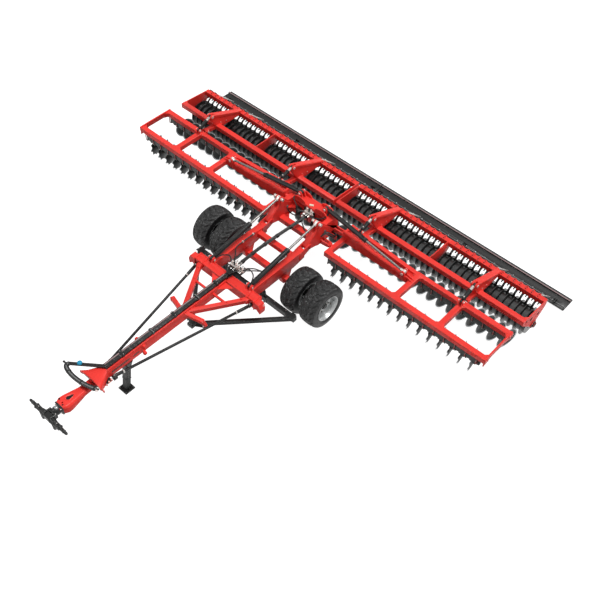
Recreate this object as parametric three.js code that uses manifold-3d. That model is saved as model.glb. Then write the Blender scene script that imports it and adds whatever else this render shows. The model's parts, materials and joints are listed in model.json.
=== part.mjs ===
// Trailed folding disc harrow with twin transport wheels, ring rollers and a rear levelling board.
// Millimetres, +Z up. X runs across the machine (+X is its left side), -Y points forward to the
// hitch. While building, y = 0 lies near the front face of the front disc beam; the finished
// assembly is shifted so that its bounding box stands centred on the origin.
import * as THREE from 'three';
import { mergeVertices } from 'three/addons/utils/BufferGeometryUtils.js';
import Module from 'manifold-3d';

const wasm = await Module();
wasm.setup();

// ---------------------------------------------------------------- driving dimensions
const GAP = 0.3;                 // face to face clearance between touching pieces
const RUN = 0.5;                   // side clearance between moving lugs
const PIN_PLAY = 0.4;              // radial clearance of a pin or shaft in its bore

// disc frames (wings)
const WING_HALF = 4860;          // outer face of the wing end plate
const BEAM = 120;                // front to back width of the main beams
const BEAM_HIGH = 120;
const MIDDLE_SLIM = 100;         // width of the middle beam's inner stretch
const BEAM_TOP = 855;
const FRONT_BEAM_Y = -20;        // front face of the front beam
const MIDDLE_BEAM_Y = 790;       // front face of the middle beam
const END_PLATE = 25;
const CROSS_OUTER_X = 3727;
const CROSS_MIDDLE_X = 2650;
const WING_INNER_X = 850;        // inner face of the wing's innermost member
const BOOM_TOP = 1000;           // top of the fold boom at its inner end
const BOOM_FRONT_Y = 560;
const BOOM_FRONT_WIDTH = 90;
const BOOM_REAR_Y = 790;
const BOOM_REAR_WIDTH = 90;

// discs
const DISC_RADIUS = 255;
const DISC_THICK = 8;
const DISC_SIDES = 10;
const DISC_Z = 335;
const DISC_PITCH = 250;
const FRONT_ROW_X = 4560;        // outermost disc of the front row
const FRONT_ROW_Y = 226;
const FRONT_ROW_COUNT = 15;
const FRONT_ROW_ANGLE = 13;
const REAR_ROW_X = 4650;
const REAR_ROW_Y = 1130;
const REAR_ROW_COUNT = 16;
const REAR_ROW_ANGLE = -16;
const ARM_WIDTH = 215;
const SHANK_WIDTH = 60;
const STRIP_THICK = 14;
const CENTRE_ROW_COUNT = 6;
const CENTRE_ROW_Y = 985;

// roller frames
const ROLLER_HALF = 4870;
const ROLLER_INNER_X = 30;
const ROLLER_FRONT_Y = 1280;
const ROLLER_FRONT_TOP = 820;
const ROLLER_REAR_Y = 2060;
const ROLLER_REAR_TOP = 763;
const ROLLER_REAR_BEAM = 110;
const ROLLER_RADIUS = 320;
const ROLLER_Y = 1795;
const ROLLER_SHAFT = 30;
const ROLLER_SPLIT_X = 2500;
const PLATE = 20;
const TOWER_WIDTH = 120;
const TOWER_X = [3724, 1138];
const SCRAPER_PITCH = 145;
const LINK_Y = 1010;             // pivot of the roller frame on the disc frame
const LINK_Z = 800;
const LINK_HALF = 50;
const LINK_PIN = 20;
const SMALL_LUG = 18;

// levelling board
const BOARD_HALF = 5070;
const BOARD_INNER_X = 8;
const BOARD_Y = 2740;
const BOARD_DEPTH = 380;
const BOARD_Z = 50;
const BOARD_THICK = 40;

// tilt frame and its pivots
const TILT_Y = -200;
const TILT_Z = 945;
const ARM_X = 530;               // centre of the chassis arms, tilt arms and lift cylinders
const ARM_WIDE = 140;
const TILT_ARM_WIDE = 115;
const TILT_BEAM_REAR = 720;
const TILT_BEAM_BOTTOM = 760;
const TILT_BEAM_TOP = 1195;
const HINGE_X = 800;
const HINGE_Z = BEAM_TOP;
const HINGE_LUG = 42;
const HINGE_PIN = 20;
const HINGE_KNUCKLES = [210, 660];
const KNUCKLE = 56;
const LUG_PLATE = 28;

// cylinders: pin to pin places at rest
const LIFT_FRONT = { y: -1842, z: 1047 };
const LIFT_REAR = { y: 98, z: 1380 };
const FOLD_Y = 600;
const FOLD_BASE = { x: 350, z: 1314 };
const FOLD_EYE = { x: 2439, z: 961 };
const CYL_RADIUS = 52;
const FOLD_RADIUS = 46;
const CYL_BORE = 29;
const ROD_RADIUS = 24;
const CYL_BARREL = 1110;         // base pin to mouth
const ROD_LENGTH = 1125;         // eye pin to inner end
const CYL_NECK = 66;             // base pin to the foot of the barrel tube
const CYL_BASE = 90;             // base pin to the closed end of the bore
const EYE_RADIUS = 45;
const EYE_WIDE = 60;
const CYL_PIN = 20;
const PIN_HEAD = 17;             // how far a pin's head stands out of its plate
const DEPTH = [
  { x: TOWER_X[0], front: [783, 951], rear: [1169, 1125] },
  { x: TOWER_X[1], front: [800, 1050], rear: [1150, 1185] },
];
const DEPTH_LUG_GAP = 48;
const DEPTH_RADIUS = 42;
const DEPTH_ROD = 22;

// chassis
const HOOD_LIP = 60;             // how far the hood runs on past the neck and over the drawbar
const DRAWBAR_TOP = 1015;
const DRAWBAR_HIGH = 235;
const DRAWBAR_WIDE = 160;
const DRAWBAR_FRONT = -5030;
const BRACE_TIE_Y = -2400;        // small ties between the drawbar and its braces
const CROSSBEAM_Y = -2035;
const CROSSBEAM_DEEP = 190;
const CROSSBEAM_TOP = 975;
const CROSSBEAM_HIGH = 220;
const CROSSBEAM_HALF = 860;
const CHASSIS_ARM_TOP = 965;
const CHASSIS_ARM_BOTTOM = 680;
const CHASSIS_ARM_END = -330;
const NECK_REAR = -5300;
const NECK_FRONT = -6045;
const HITCH_Y = -6305;
const HITCH_Z = 858;
const HITCH_HALF = 525;
const YAW_Y = -6125;
const GUARD_Z = 394;
const GUARD_BAR = 80;
const GUARD_REAR_WIDE = 100;
const GUARD_REAR_HIGH = 120;
const GUARD_TIP_X = 1382;
const GUARD_REAR_Y = -1500;
const GUARD_APEX_Y = -2940;
const JACK_Y = -4560;
const JACK_Z = 700;
const JACK_FOOT_Y = -4667;
const JACK_FOOT = 230;
const JACK_LEG = 110;
const STAY_RADIUS = 28;

// wheels
const WHEEL_Y = -856;
const TYRE_RADIUS = 486;
const TYRE_HALF = 205;
const TYRE_SIDES = 20;
const RIM_WEB = 40;
const HUB_SIDES = 12;
const RIM_RADIUS = 285;
const WHEEL_X = [1022, 1542];
const STUB_RADIUS = 45;
const AXLE_HALF = 790;
const AXLE = 120;

const HOLE_SIDES = 8;
const MERGE = 0.01;                // flat neighbours closer than this are merged

// ---------------------------------------------------------------- materials
const paint = (color, roughness = 0.45, metalness = 0.1) =>
  new THREE.MeshStandardMaterial({ color, roughness, metalness });
const RED = () => paint(0xe5382c);
const BLACK = () => paint(0x1c1d1c);
const GREY = () => paint(0x3a3d3b, 0.5, 0.4);
const STEEL = () => paint(0x5b5e5c, 0.4, 0.8);
const CHROME = () => paint(0xd8d8d6, 0.15, 1);
const SILVER = () => paint(0xb9bbb9, 0.35, 0.8);
const RUBBER = () => paint(0x151515, 0.9, 0);

// ---------------------------------------------------------------- geometry helpers
function solid(geometry) {
  const bare = geometry.clone();
  bare.deleteAttribute('normal');
  bare.deleteAttribute('uv');
  const merged = mergeVertices(bare, 1e-3);
  return new wasm.Manifold(new wasm.Mesh({
    numProp: 3,
    vertProperties: new Float32Array(merged.attributes.position.array),
    triVerts: new Uint32Array(merged.index.array),
  }));
}

const join = (pieces) => pieces.reduce((whole, piece) => whole.add(piece));

function toGeometry(body) {
  const mesh = body.asOriginal().simplify(MERGE).getMesh();
  const geometry = new THREE.BufferGeometry();
  geometry.setAttribute('position', new THREE.BufferAttribute(new Float32Array(mesh.vertProperties), 3));
  geometry.setIndex(new THREE.BufferAttribute(new Uint32Array(mesh.triVerts), 1));
  return geometry;
}

function box(x, y, z) {
  const geometry = new THREE.BoxGeometry(x[1] - x[0], y[1] - y[0], z[1] - z[0]);
  geometry.translate((x[0] + x[1]) / 2, (y[0] + y[1]) / 2, (z[0] + z[1]) / 2);
  return solid(geometry);
}

// outline in the plane square to an axis, carried from one place to another along that axis
function prism(axis, outline, from, to, holes = []) {
  const points = outline.map(([u, v]) => new THREE.Vector2(u, v));
  if (THREE.ShapeUtils.isClockWise(points)) points.reverse();
  const shape = new THREE.Shape(points);
  for (const [u, v, radius] of holes) {
    const ring = round(u, v, radius / Math.cos(Math.PI / HOLE_SIDES), 360, 0, HOLE_SIDES).slice(1);
    shape.holes.push(new THREE.Path(ring.map(([a, b]) => new THREE.Vector2(a, b))));
  }
  const settings = { depth: to - from, bevelEnabled: false };
  const geometry = new THREE.ExtrudeGeometry(shape, settings);
  const turn = new THREE.Matrix4();
  const [ex, ey, ez] = [new THREE.Vector3(1, 0, 0), new THREE.Vector3(0, 1, 0), new THREE.Vector3(0, 0, 1)];
  if (axis === 'x') turn.makeBasis(ey, ez, ex).setPosition(from, 0, 0);
  if (axis === 'y') turn.makeBasis(ex, ez, ey.clone().negate()).setPosition(0, to, 0);
  if (axis === 'z') turn.makeBasis(ex, ey, ez).setPosition(0, 0, from);
  geometry.applyMatrix4(turn);
  return solid(geometry);
}

// an outline with a rounded head of the given radius at each listed corner
function round(cu, cv, radius, start, end, steps = 3) {
  const points = [];
  for (let i = 0; i <= steps; i += 1) {
    const angle = THREE.MathUtils.degToRad(start + (end - start) * i / steps);
    points.push([cu + radius * Math.cos(angle), cv + radius * Math.sin(angle)]);
  }
  return points;
}

function rod(a, b, radius, sides = 8, radiusEnd = radius) {
  const from = new THREE.Vector3(...a);
  const to = new THREE.Vector3(...b);
  const along = to.clone().sub(from);
  const geometry = new THREE.CylinderGeometry(radiusEnd, radius, along.length(), sides);
  geometry.applyQuaternion(new THREE.Quaternion().setFromUnitVectors(
    new THREE.Vector3(0, 1, 0), along.clone().normalize()));
  const middle = from.add(to).multiplyScalar(0.5);
  geometry.translate(middle.x, middle.y, middle.z);
  return solid(geometry);
}

// a round hole as a solid to subtract: its flats, not its corners, lie at the given radius
const bore = (a, b, radius, sides = HOLE_SIDES) => rod(a, b, radius / Math.cos(Math.PI / sides), sides);

// rectangular bar between two points, its wide side kept level
function bar(a, b, wide, high) {
  const from = new THREE.Vector3(...a);
  const to = new THREE.Vector3(...b);
  const along = to.clone().sub(from);
  const length = along.length();
  const forward = along.normalize();
  const side = new THREE.Vector3().crossVectors(forward, new THREE.Vector3(0, 0, 1)).normalize();
  const up = new THREE.Vector3().crossVectors(side, forward);
  const geometry = new THREE.BoxGeometry(length, wide, high);
  geometry.applyMatrix4(new THREE.Matrix4().makeBasis(forward, side.negate(), up));
  const middle = from.add(to).multiplyScalar(0.5);
  geometry.translate(middle.x, middle.y, middle.z);
  return solid(geometry);
}

function lathe(profile, sides, at) {
  const points = profile.map(([r, x]) => new THREE.Vector2(r, x));
  const geometry = new THREE.LatheGeometry(points, sides);
  geometry.rotateZ(-Math.PI / 2);
  geometry.translate(...at);
  return solid(geometry);
}

// skin through outlines of equal point count, [x, z] each, standing at rising y places
function loft(sections) {
  const count = sections[0].outline.length;
  const points = sections.flatMap(({ y, outline }) => outline.map(([x, z]) => [x, y, z]));
  const index = [];
  for (let s = 0; s + 1 < sections.length; s += 1) {
    for (let i = 0; i < count; i += 1) {
      const [a, b] = [s * count + i, s * count + (i + 1) % count];
      index.push(a, b + count, b, a, a + count, b + count);
    }
  }
  const last = (sections.length - 1) * count;
  const cap = (outline) => THREE.ShapeUtils.triangulateShape(
    outline.map(([x, z]) => new THREE.Vector2(x, z)), []);
  for (const [a, b, c] of cap(sections[0].outline)) index.push(a, b, c);
  for (const [a, b, c] of cap(sections[sections.length - 1].outline)) {
    index.push(last + a, last + c, last + b);
  }
  const geometry = new THREE.BufferGeometry();
  geometry.setAttribute('position', new THREE.BufferAttribute(new Float32Array(points.flat()), 3));
  geometry.setIndex(index);
  const body = solid(geometry);
  if (body.volume() <= 0) throw new Error('a loft is inside out');
  return body;
}

// eight-sided outline, anticlockwise in x and z: a box with cut corners
const chamfered = (half, bottom, top, cut) => [
  [half - cut, bottom], [half, bottom + cut], [half, top - cut], [half - cut, top],
  [-half + cut, top], [-half, top - cut], [-half, bottom + cut], [-half + cut, bottom],
];

// arch on two legs, anticlockwise in x and z
const arch = (half, bottom, side, top) => [
  [half, bottom], [half, side], [half * 0.75, side + (top - side) * 0.7], [half * 0.35, top],
  [-half * 0.35, top], [-half * 0.75, side + (top - side) * 0.7], [-half, side], [-half, bottom],
];

const assembly = new THREE.Group();

function addNode(name, body, material) {
  const mesh = new THREE.Mesh(toGeometry(body), material);
  mesh.name = name;
  assembly.add(mesh);
}

function mirrored(body) {
  const geometry = toGeometry(body);
  geometry.scale(-1, 1, 1);
  const index = geometry.index.array;
  for (let i = 0; i < index.length; i += 3) {
    [index[i], index[i + 1]] = [index[i + 1], index[i]];
  }
  return solid(geometry);
}

// a piece of the left side and its mirror image on the right
function addPair(name, body, makeMaterial) {
  addNode(`${name}_left`, body, makeMaterial());
  addNode(`${name}_right`, mirrored(body), makeMaterial());
}

// ---------------------------------------------------------------- chassis
function makeDrawbar() {
  const half = DRAWBAR_WIDE / 2;
  const bottom = DRAWBAR_TOP - DRAWBAR_HIGH;
  const crossFace = CROSSBEAM_Y - GAP;
  const pieces = [box([-half, half], [DRAWBAR_FRONT, crossFace], [bottom, DRAWBAR_TOP])];
  // domed hood that widens towards the hitch and covers the rear end of the neck
  const hood = loft([
    { y: NECK_REAR - HOOD_LIP, outline: arch(300, 940, 1000, 1050) },
    { y: NECK_REAR + HOOD_LIP, outline: arch(215, 820, 975, DRAWBAR_TOP) },
    { y: DRAWBAR_FRONT, outline: arch(half, bottom, DRAWBAR_TOP - 10, DRAWBAR_TOP) },
    { y: DRAWBAR_FRONT + HOOD_LIP, outline: arch(half, bottom, DRAWBAR_TOP - 10, DRAWBAR_TOP) },
  ]);
  const mouth = loft([
    { y: NECK_REAR - 100, outline: arch(292, 840, 985, 1042) },
    { y: NECK_REAR + GAP, outline: arch(195, 780, 950, 990) },
  ]);
  pieces.push(hood.subtract(mouth));
  for (const side of [-1, 1]) {
    const foot = [side * (half - 30), -3060, CROSSBEAM_TOP - 60];
    pieces.push(bar(foot, [side * 655, CROSSBEAM_Y - 45, CROSSBEAM_TOP - 60], 90, 100));
    pieces.push(box(
      side > 0 ? [600, 710] : [-710, -600], [CROSSBEAM_Y - 90, crossFace],
      [CROSSBEAM_TOP - 110, CROSSBEAM_TOP - 10]));
    pieces.push(bar([side * (half - 5), BRACE_TIE_Y, 905], [side * 460, BRACE_TIE_Y, 905], 45, 45));
    pieces.push(bar([side * (half - 20), -3120, 930], [side * 440, -3010, 900], 90, 70));
    pieces.push(bar([side * 420, -3018, 920], [side * 475, -2985, 770], 80, 50));
  }
  return join(pieces);
}

function makeNeck() {
  const body = loft([
    { y: NECK_FRONT, outline: chamfered(105, 755, 950, 20) },
    { y: -5960, outline: chamfered(148, 740, 955, 35) },
    { y: -5880, outline: chamfered(145, 742, 950, 35) },
    { y: -5560, outline: chamfered(90, 780, 916, 25) },
    { y: NECK_REAR, outline: chamfered(90, 793, 925, 25) },
  ]);
  const holes = [[-5855, 40], [-5985, 18]].map(([y, radius]) => bore([0, y, 700], [0, y, 1000], radius));
  const pin = rod([0, YAW_Y, 795], [0, YAW_Y, 920], 30);
  const cheeks = [[795, 825], [890, 920]].map(([z0, z1]) =>
    prism('z', [[-60, NECK_FRONT + 30], ...round(0, YAW_Y, 60, 180, 360), [60, NECK_FRONT + 30]], z0, z1));
  return join([holes.reduce((rest, hole) => rest.subtract(hole), body), pin, ...cheeks]);
}

function makeHoseChannel() {
  const top = DRAWBAR_TOP + GAP;
  const pieces = [box([-55, 55], [DRAWBAR_FRONT + 10, -1990], [top, top + 55])];
  pieces.push(bar([0, -1990, top + 28], [0, -1790, top - 10], 110, 55));
  const low = top - 14;
  const route = [
    [0, DRAWBAR_FRONT + 30, top + 34], [-540, -5405, top + 10], [-560, -5445, low], [-490, -5490, low],
    [-300, -5520, low], [-70, -5505, low], [130, -5455, low], [240, -5410, low],
  ];
  for (let i = 1; i < route.length; i += 1) {
    const [x, y, z] = route[i];
    pieces.push(bar(route[i - 1], route[i], i === 1 ? 64 : 84, 40));
    pieces.push(rod([x, y, z - 20], [x, y, z + 20], 41, 8));
  }
  return join(pieces);
}

function makeMainFrame() {
  const z = [CROSSBEAM_TOP - CROSSBEAM_HIGH, CROSSBEAM_TOP];
  const y = [CROSSBEAM_Y, CROSSBEAM_Y + CROSSBEAM_DEEP];
  const pieces = [box([-CROSSBEAM_HALF, CROSSBEAM_HALF], y, z)];
  const bottom = CHASSIS_ARM_BOTTOM;
  for (const side of [-1, 1]) {
    const across = (a, b) => (side > 0 ? [a, b] : [-b, -a]);
    pieces.push(prism('y', [
      [side * 820, z[0]], [side * 820, z[1]], [side * 960, z[1]], [side * 1010, z[1] - 110],
      [side * 995, z[0] - 20], [side * 900, z[0] + 60],
    ], y[0] - 20, y[1] - 60));
    const inner = ARM_X - ARM_WIDE / 2;
    const outer = ARM_X + ARM_WIDE / 2;
    pieces.push(prism('x', [
      [CROSSBEAM_Y + 20, bottom + 60], [-1500, bottom], [WHEEL_Y + 200, bottom],
      [CHASSIS_ARM_END, bottom + 60],
      [CHASSIS_ARM_END, CHASSIS_ARM_TOP], [CROSSBEAM_Y + 20, CHASSIS_ARM_TOP],
    ], ...across(inner, outer)));
    for (const [a, b] of [[inner - 12, inner + 12], [outer - 12, outer + 12]]) {
      pieces.push(prism('x', [
        [CHASSIS_ARM_END - 150, bottom + 80], ...round(TILT_Y, TILT_Z, 75, -90, 90),
        [CHASSIS_ARM_END - 150, CHASSIS_ARM_TOP - 5],
      ], ...across(a, b)));
    }
    pieces.push(rod([side * (inner - 25), TILT_Y, TILT_Z], [side * (outer + 25), TILT_Y, TILT_Z], 35));
    for (const offset of [-1, 1]) {
      const a = ARM_X + offset * (EYE_WIDE / 2 + RUN) + Math.min(offset, 0) * LUG_PLATE;
      pieces.push(prism('x', [
        [LIFT_FRONT.y - 100, CROSSBEAM_TOP - 40],
        [LIFT_FRONT.y + 60, CHASSIS_ARM_TOP - 40],
        ...round(LIFT_FRONT.y, LIFT_FRONT.z, EYE_RADIUS + 5, 0, 180),
      ], ...across(a, a + LUG_PLATE)));
    }
    pieces.push(rod(
      [side * (ARM_X - 75), LIFT_FRONT.y, LIFT_FRONT.z],
      [side * (ARM_X + 75), LIFT_FRONT.y, LIFT_FRONT.z], CYL_PIN));
  }
  const tie = ARM_X - ARM_WIDE / 2 + 10;
  pieces.push(box([-tie, tie], [-620, -500], [790, 910]));
  return join(pieces);
}

function makeAxle() {
  const centre = TYRE_RADIUS;
  const half = AXLE / 2;
  const y = [WHEEL_Y - half, WHEEL_Y + half];
  const pieces = [box([-AXLE_HALF, AXLE_HALF], y, [centre - half, centre + half])];
  const stubEnd = WHEEL_X[1] + 40;
  pieces.push(rod([-stubEnd, WHEEL_Y, centre], [stubEnd, WHEEL_Y, centre], STUB_RADIUS, 16));
  for (const side of [-1, 1]) {
    const x = side > 0 ? [ARM_X - 60, ARM_X + 60] : [-ARM_X - 60, -ARM_X + 60];
    const armUnder = CHASSIS_ARM_BOTTOM - GAP;
    pieces.push(prism('x', [
      [WHEEL_Y - 160, armUnder], [WHEEL_Y - 80, centre - half - 15], [WHEEL_Y + 80, centre - half - 15],
      [WHEEL_Y + 160, armUnder],
    ], x[0], x[1]));
  }
  return join(pieces);
}

function makeGuardFrame() {
  const half = GUARD_BAR / 2;
  const rearY = GUARD_REAR_Y + half;
  const top = GUARD_Z + half;
  const pieces = [box([-GUARD_TIP_X, GUARD_TIP_X], [GUARD_REAR_Y, GUARD_REAR_Y + GUARD_REAR_WIDE],
    [top - GUARD_REAR_HIGH, top])];
  for (const side of [-1, 1]) {
    pieces.push(bar([0, GUARD_APEX_Y, GUARD_Z], [side * (GUARD_TIP_X - 30), rearY, GUARD_Z],
      GUARD_BAR, GUARD_BAR));
    const across = (a, b) => (side > 0 ? [a, b] : [-b, -a]);
    pieces.push(box(across(ARM_X - 20, ARM_X + 20), [rearY - 30, rearY + 30],
      [GUARD_Z, CHASSIS_ARM_BOTTOM - GAP]));
  }
  const under = DRAWBAR_TOP - DRAWBAR_HIGH - GAP;
  pieces.push(box([-70, 70], [GUARD_APEX_Y - 70, GUARD_APEX_Y + 70], [GUARD_Z - half, GUARD_Z + half]));
  pieces.push(box([-40, 40], [GUARD_APEX_Y - 50, GUARD_APEX_Y + 50], [GUARD_Z, under]));
  return join(pieces);
}

function makeStays() {
  const z = 830;
  const y = [-4975, -4915];
  const anchor = 145;
  const rear = CROSSBEAM_Y - GAP;
  const under = DRAWBAR_TOP - DRAWBAR_HIGH - GAP;
  const pieces = [box([-anchor - 15, anchor + 15], y, [under - 30, under])];
  for (const side of [-1, 1]) {
    pieces.push(box(side > 0 ? [anchor - 15, anchor + 15] : [-anchor - 15, -anchor + 15],
      y, [under - 30, z + 20]));
    pieces.push(rod([side * anchor, -4945, z], [side * 764, rear - 60, 856], STAY_RADIUS, 8));
    pieces.push(box(side > 0 ? [735, 795] : [-795, -735], [rear - 90, rear], [830, 885]));
  }
  return join(pieces);
}

function makeJack() {
  const top = [0, JACK_Y, JACK_Z];
  const foot = [0, JACK_FOOT_Y, 40];
  return join([
    bar(top, foot, JACK_LEG, JACK_LEG),
    rod([-70, JACK_Y, JACK_Z], [70, JACK_Y, JACK_Z], 45),
    box([-JACK_FOOT / 2, JACK_FOOT / 2],
      [JACK_FOOT_Y - JACK_FOOT / 2, JACK_FOOT_Y + JACK_FOOT / 2], [0, 25]),
    box([-30, 30], [JACK_FOOT_Y - 30, JACK_FOOT_Y + 30], [20, 60]),
  ]);
}

function makeJackBracket() {
  const under = DRAWBAR_TOP - DRAWBAR_HIGH - GAP;
  const outline = [
    [JACK_Y - 90, under], ...round(JACK_Y, JACK_Z, 55, 180, 360), [JACK_Y + 90, under],
  ];
  const plates = [-1, 1].map((side) => prism('x', outline,
    side > 0 ? 70 + RUN : -70 - RUN - 16, side > 0 ? 70 + RUN + 16 : -70 - RUN));
  return join([...plates, box([-88, 88], [JACK_Y - 90, JACK_Y + 90], [under - 14, under]),
  ]);
}

// ---------------------------------------------------------------- hitch
function makeHitchYoke() {
  const arm = box([-45, 45], [HITCH_Y + 70, YAW_Y], [825 + RUN, 890 - RUN]);
  const eye = rod([0, YAW_Y, 825 + RUN], [0, YAW_Y, 890 - RUN], 55, 16)
    .subtract(bore([0, YAW_Y, 700], [0, YAW_Y, 1000], 30 + PIN_PLAY));
  const pinHole = bore([0, YAW_Y, 700], [0, YAW_Y, 1000], 30 + PIN_PLAY);
  const cheeks = [-1, 1].map((side) => {
    const x = side > 0 ? [75, 105] : [-105, -75];
    return prism('x', [
      [HITCH_Y + 100, HITCH_Z - 60], [HITCH_Y + 100, HITCH_Z + 60],
      ...round(HITCH_Y, HITCH_Z, 70, 90, 270),
    ], x[0], x[1], [[HITCH_Y, HITCH_Z, 40 + PIN_PLAY]]);
  });
  const back = box([-105, 105], [HITCH_Y + 75, HITCH_Y + 105], [HITCH_Z - 60, HITCH_Z + 60]);
  return join([arm, eye, ...cheeks, back]).subtract(pinHole);
}

function makeCrossShaft() {
  const at = (x) => [x, HITCH_Y, HITCH_Z];
  const pieces = [
    rod(at(-330), at(330), 40, 12),
    rod(at(-HITCH_HALF), at(-320), 18, 12, 30),
    rod(at(320), at(HITCH_HALF), 30, 12, 18),
    box([-70, 70], [HITCH_Y - 50, HITCH_Y + 50], [HITCH_Z - 50, HITCH_Z + 50]),
  ];
  for (const side of [-1, 1]) {
    const x = side > 0 ? [150, 175] : [-175, -150];
    pieces.push(prism('x', [
      [HITCH_Y - 50, HITCH_Z], [HITCH_Y - 40, HITCH_Z - 190], [HITCH_Y + 40, HITCH_Z - 190],
      [HITCH_Y + 50, HITCH_Z],
    ], x[0], x[1]));
  }
  return join(pieces);
}

// ---------------------------------------------------------------- wheels
function makeTyre(x) {
  const h = TYRE_HALF;
  const r = TYRE_RADIUS;
  return lathe([
    [RIM_RADIUS, -h + 25], [RIM_RADIUS + 60, -h], [r - 50, -h + 10], [r, -h + 90],
    [r, h - 90], [r - 50, h - 10], [RIM_RADIUS + 60, h], [RIM_RADIUS, h - 25], [RIM_RADIUS, -h + 25],
  ], TYRE_SIDES, [x, WHEEL_Y, TYRE_RADIUS]);
}

function makeRims() {
  const outer = RIM_RADIUS - 2 * GAP;
  const bore = (sides) => (STUB_RADIUS + PIN_PLAY) / Math.cos(Math.PI / sides);
  const eye = bore(TYRE_SIDES);
  const sleeve = bore(HUB_SIDES);
  const half = TYRE_HALF - 15;
  const pieces = WHEEL_X.map((x) => lathe([
    [eye, 0], [outer, -half], [outer, half], [eye, RIM_WEB], [eye, 0],
  ], TYRE_SIDES, [x, WHEEL_Y, TYRE_RADIUS]));
  const start = AXLE_HALF + 10;
  const end = WHEEL_X[1] + 110;
  pieces.push(lathe([
    [sleeve, start], [85, start], [85, end], [0, end], [0, end - 60], [sleeve, end - 60], [sleeve, start],
  ], HUB_SIDES, [0, WHEEL_Y, TYRE_RADIUS]));
  return join(pieces);
}

// ---------------------------------------------------------------- cylinders
function makeBarrel(base, eye, radius) {
  const from = new THREE.Vector3(...base);
  const along = new THREE.Vector3(...eye).sub(from).normalize();
  const at = (d) => from.clone().addScaledVector(along, d).toArray();
  const side = Math.abs(along.x) > 0.5 ? [0, 1, 0] : [1, 0, 0];
  const across = (s) => base.map((v, i) => v + side[i] * s * EYE_WIDE / 2);
  const body = rod(at(CYL_NECK), at(CYL_BARREL), radius, 12).add(rod(at(0), at(CYL_NECK + 5), 26));
  const hollow = bore(at(CYL_BASE), at(CYL_BARREL + 50), CYL_BORE, 12);
  const pin = bore(across(-3), across(3), CYL_PIN + PIN_PLAY);
  return body.subtract(hollow).add(rod(across(-1), across(1), EYE_RADIUS)).subtract(pin);
}

function makeRod(base, eye) {
  const to = new THREE.Vector3(...eye);
  const along = new THREE.Vector3(...base).sub(to).normalize();
  const side = Math.abs(along.x) > 0.5 ? [0, 1, 0] : [1, 0, 0];
  const across = (s) => eye.map((v, i) => v + side[i] * s * EYE_WIDE / 2);
  const stem = rod(eye, to.clone().addScaledVector(along, ROD_LENGTH).toArray(), ROD_RADIUS, 12);
  const pin = bore(across(-3), across(3), CYL_PIN + PIN_PLAY);
  return stem.add(rod(across(-1), across(1), EYE_RADIUS)).subtract(pin);
}

function makeDepthCylinder({ x, front, rear }) {
  const a = new THREE.Vector3(x, ...front);
  const b = new THREE.Vector3(x, ...rear);
  const along = b.clone().sub(a).normalize();
  const length = b.distanceTo(a);
  const at = (d) => a.clone().addScaledVector(along, d).toArray();
  const half = DEPTH_LUG_GAP / 2 - GAP;
  const eye = (p) => rod([x - half, p.y, p.z], [x + half, p.y, p.z], 32);
  return join([rod(at(50), at(length * 0.62), DEPTH_RADIUS), rod(at(0), at(length), DEPTH_ROD),
    eye(a), eye(b)]);
}

// ---------------------------------------------------------------- tilt frame
function makeTiltFrame() {
  const pieces = [];
  const armHalf = TILT_ARM_WIDE / 2;
  const beam = { y: [470, TILT_BEAM_REAR], z: [TILT_BEAM_BOTTOM, TILT_BEAM_TOP] };
  for (const side of [-1, 1]) {
    const across = (a, b) => (side > 0 ? [a, b] : [-b, -a]);
    const arm = prism('x', [
      ...round(TILT_Y, TILT_Z, 80, 150, 300),
      [100, TILT_BEAM_BOTTOM], [TILT_BEAM_REAR, TILT_BEAM_BOTTOM], [TILT_BEAM_REAR, TILT_BEAM_TOP],
      [330, TILT_BEAM_TOP], ...round(LIFT_REAR.y, LIFT_REAR.z, EYE_RADIUS + 5, 0, 180),
      [LIFT_REAR.y - 65, LIFT_REAR.z - 135],
    ], ...across(ARM_X - armHalf, ARM_X + armHalf), [[TILT_Y, TILT_Z, 35 + PIN_PLAY]]);
    // the arm's head is forked, so the lift rod's eye swings between two plates
    const fork = box(across(ARM_X - EYE_WIDE / 2 - RUN, ARM_X + EYE_WIDE / 2 + RUN),
      [LIFT_REAR.y - 250, LIFT_REAR.y + 120], [LIFT_REAR.z - 195, LIFT_REAR.z + 120]);
    pieces.push(arm.subtract(fork));
    for (const offset of [-1, 1]) {
      pieces.push(rod([side * (ARM_X + offset * (armHalf - 5)), LIFT_REAR.y, LIFT_REAR.z],
        [side * (ARM_X + offset * (armHalf + PIN_HEAD)), LIFT_REAR.y, LIFT_REAR.z], CYL_PIN));
    }
    for (const y of HINGE_KNUCKLES) {
      for (const offset of [-1, 1]) {
        const a = y + offset * (KNUCKLE / 2 + RUN) + Math.min(offset, 0) * LUG_PLATE;
        pieces.push(prism('y', [
          [side * 480, 760], ...(side > 0
            ? round(HINGE_X, HINGE_Z, HINGE_LUG, -90, 90)
            : round(-HINGE_X, HINGE_Z, HINGE_LUG, 270, 90)),
          [side * 480, 897],
        ], a, a + LUG_PLATE, [[side * HINGE_X, HINGE_Z, HINGE_PIN + PIN_PLAY]]));
      }
    }
    for (const offset of [-1, 1]) {
      const a = FOLD_Y + offset * (EYE_WIDE / 2 + RUN) + Math.min(offset, 0) * LUG_PLATE;
      pieces.push(prism('y', [
        [side * (FOLD_BASE.x - 120), 1150], [side * (FOLD_BASE.x + 60), 1150],
        ...(side > 0
          ? round(FOLD_BASE.x, FOLD_BASE.z, EYE_RADIUS + 10, 0, 180)
          : round(-FOLD_BASE.x, FOLD_BASE.z, EYE_RADIUS + 10, 180, 0)),
      ], a, a + LUG_PLATE));
    }
    pieces.push(rod([side * FOLD_BASE.x, FOLD_Y - 75, FOLD_BASE.z],
      [side * FOLD_BASE.x, FOLD_Y + 75, FOLD_BASE.z], CYL_PIN));
  }
  pieces.push(box([-ARM_X, ARM_X], beam.y, beam.z));
  pieces.push(box([-ARM_X, ARM_X], [40, 180], [770, 900]));
  return join(pieces);
}

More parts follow.
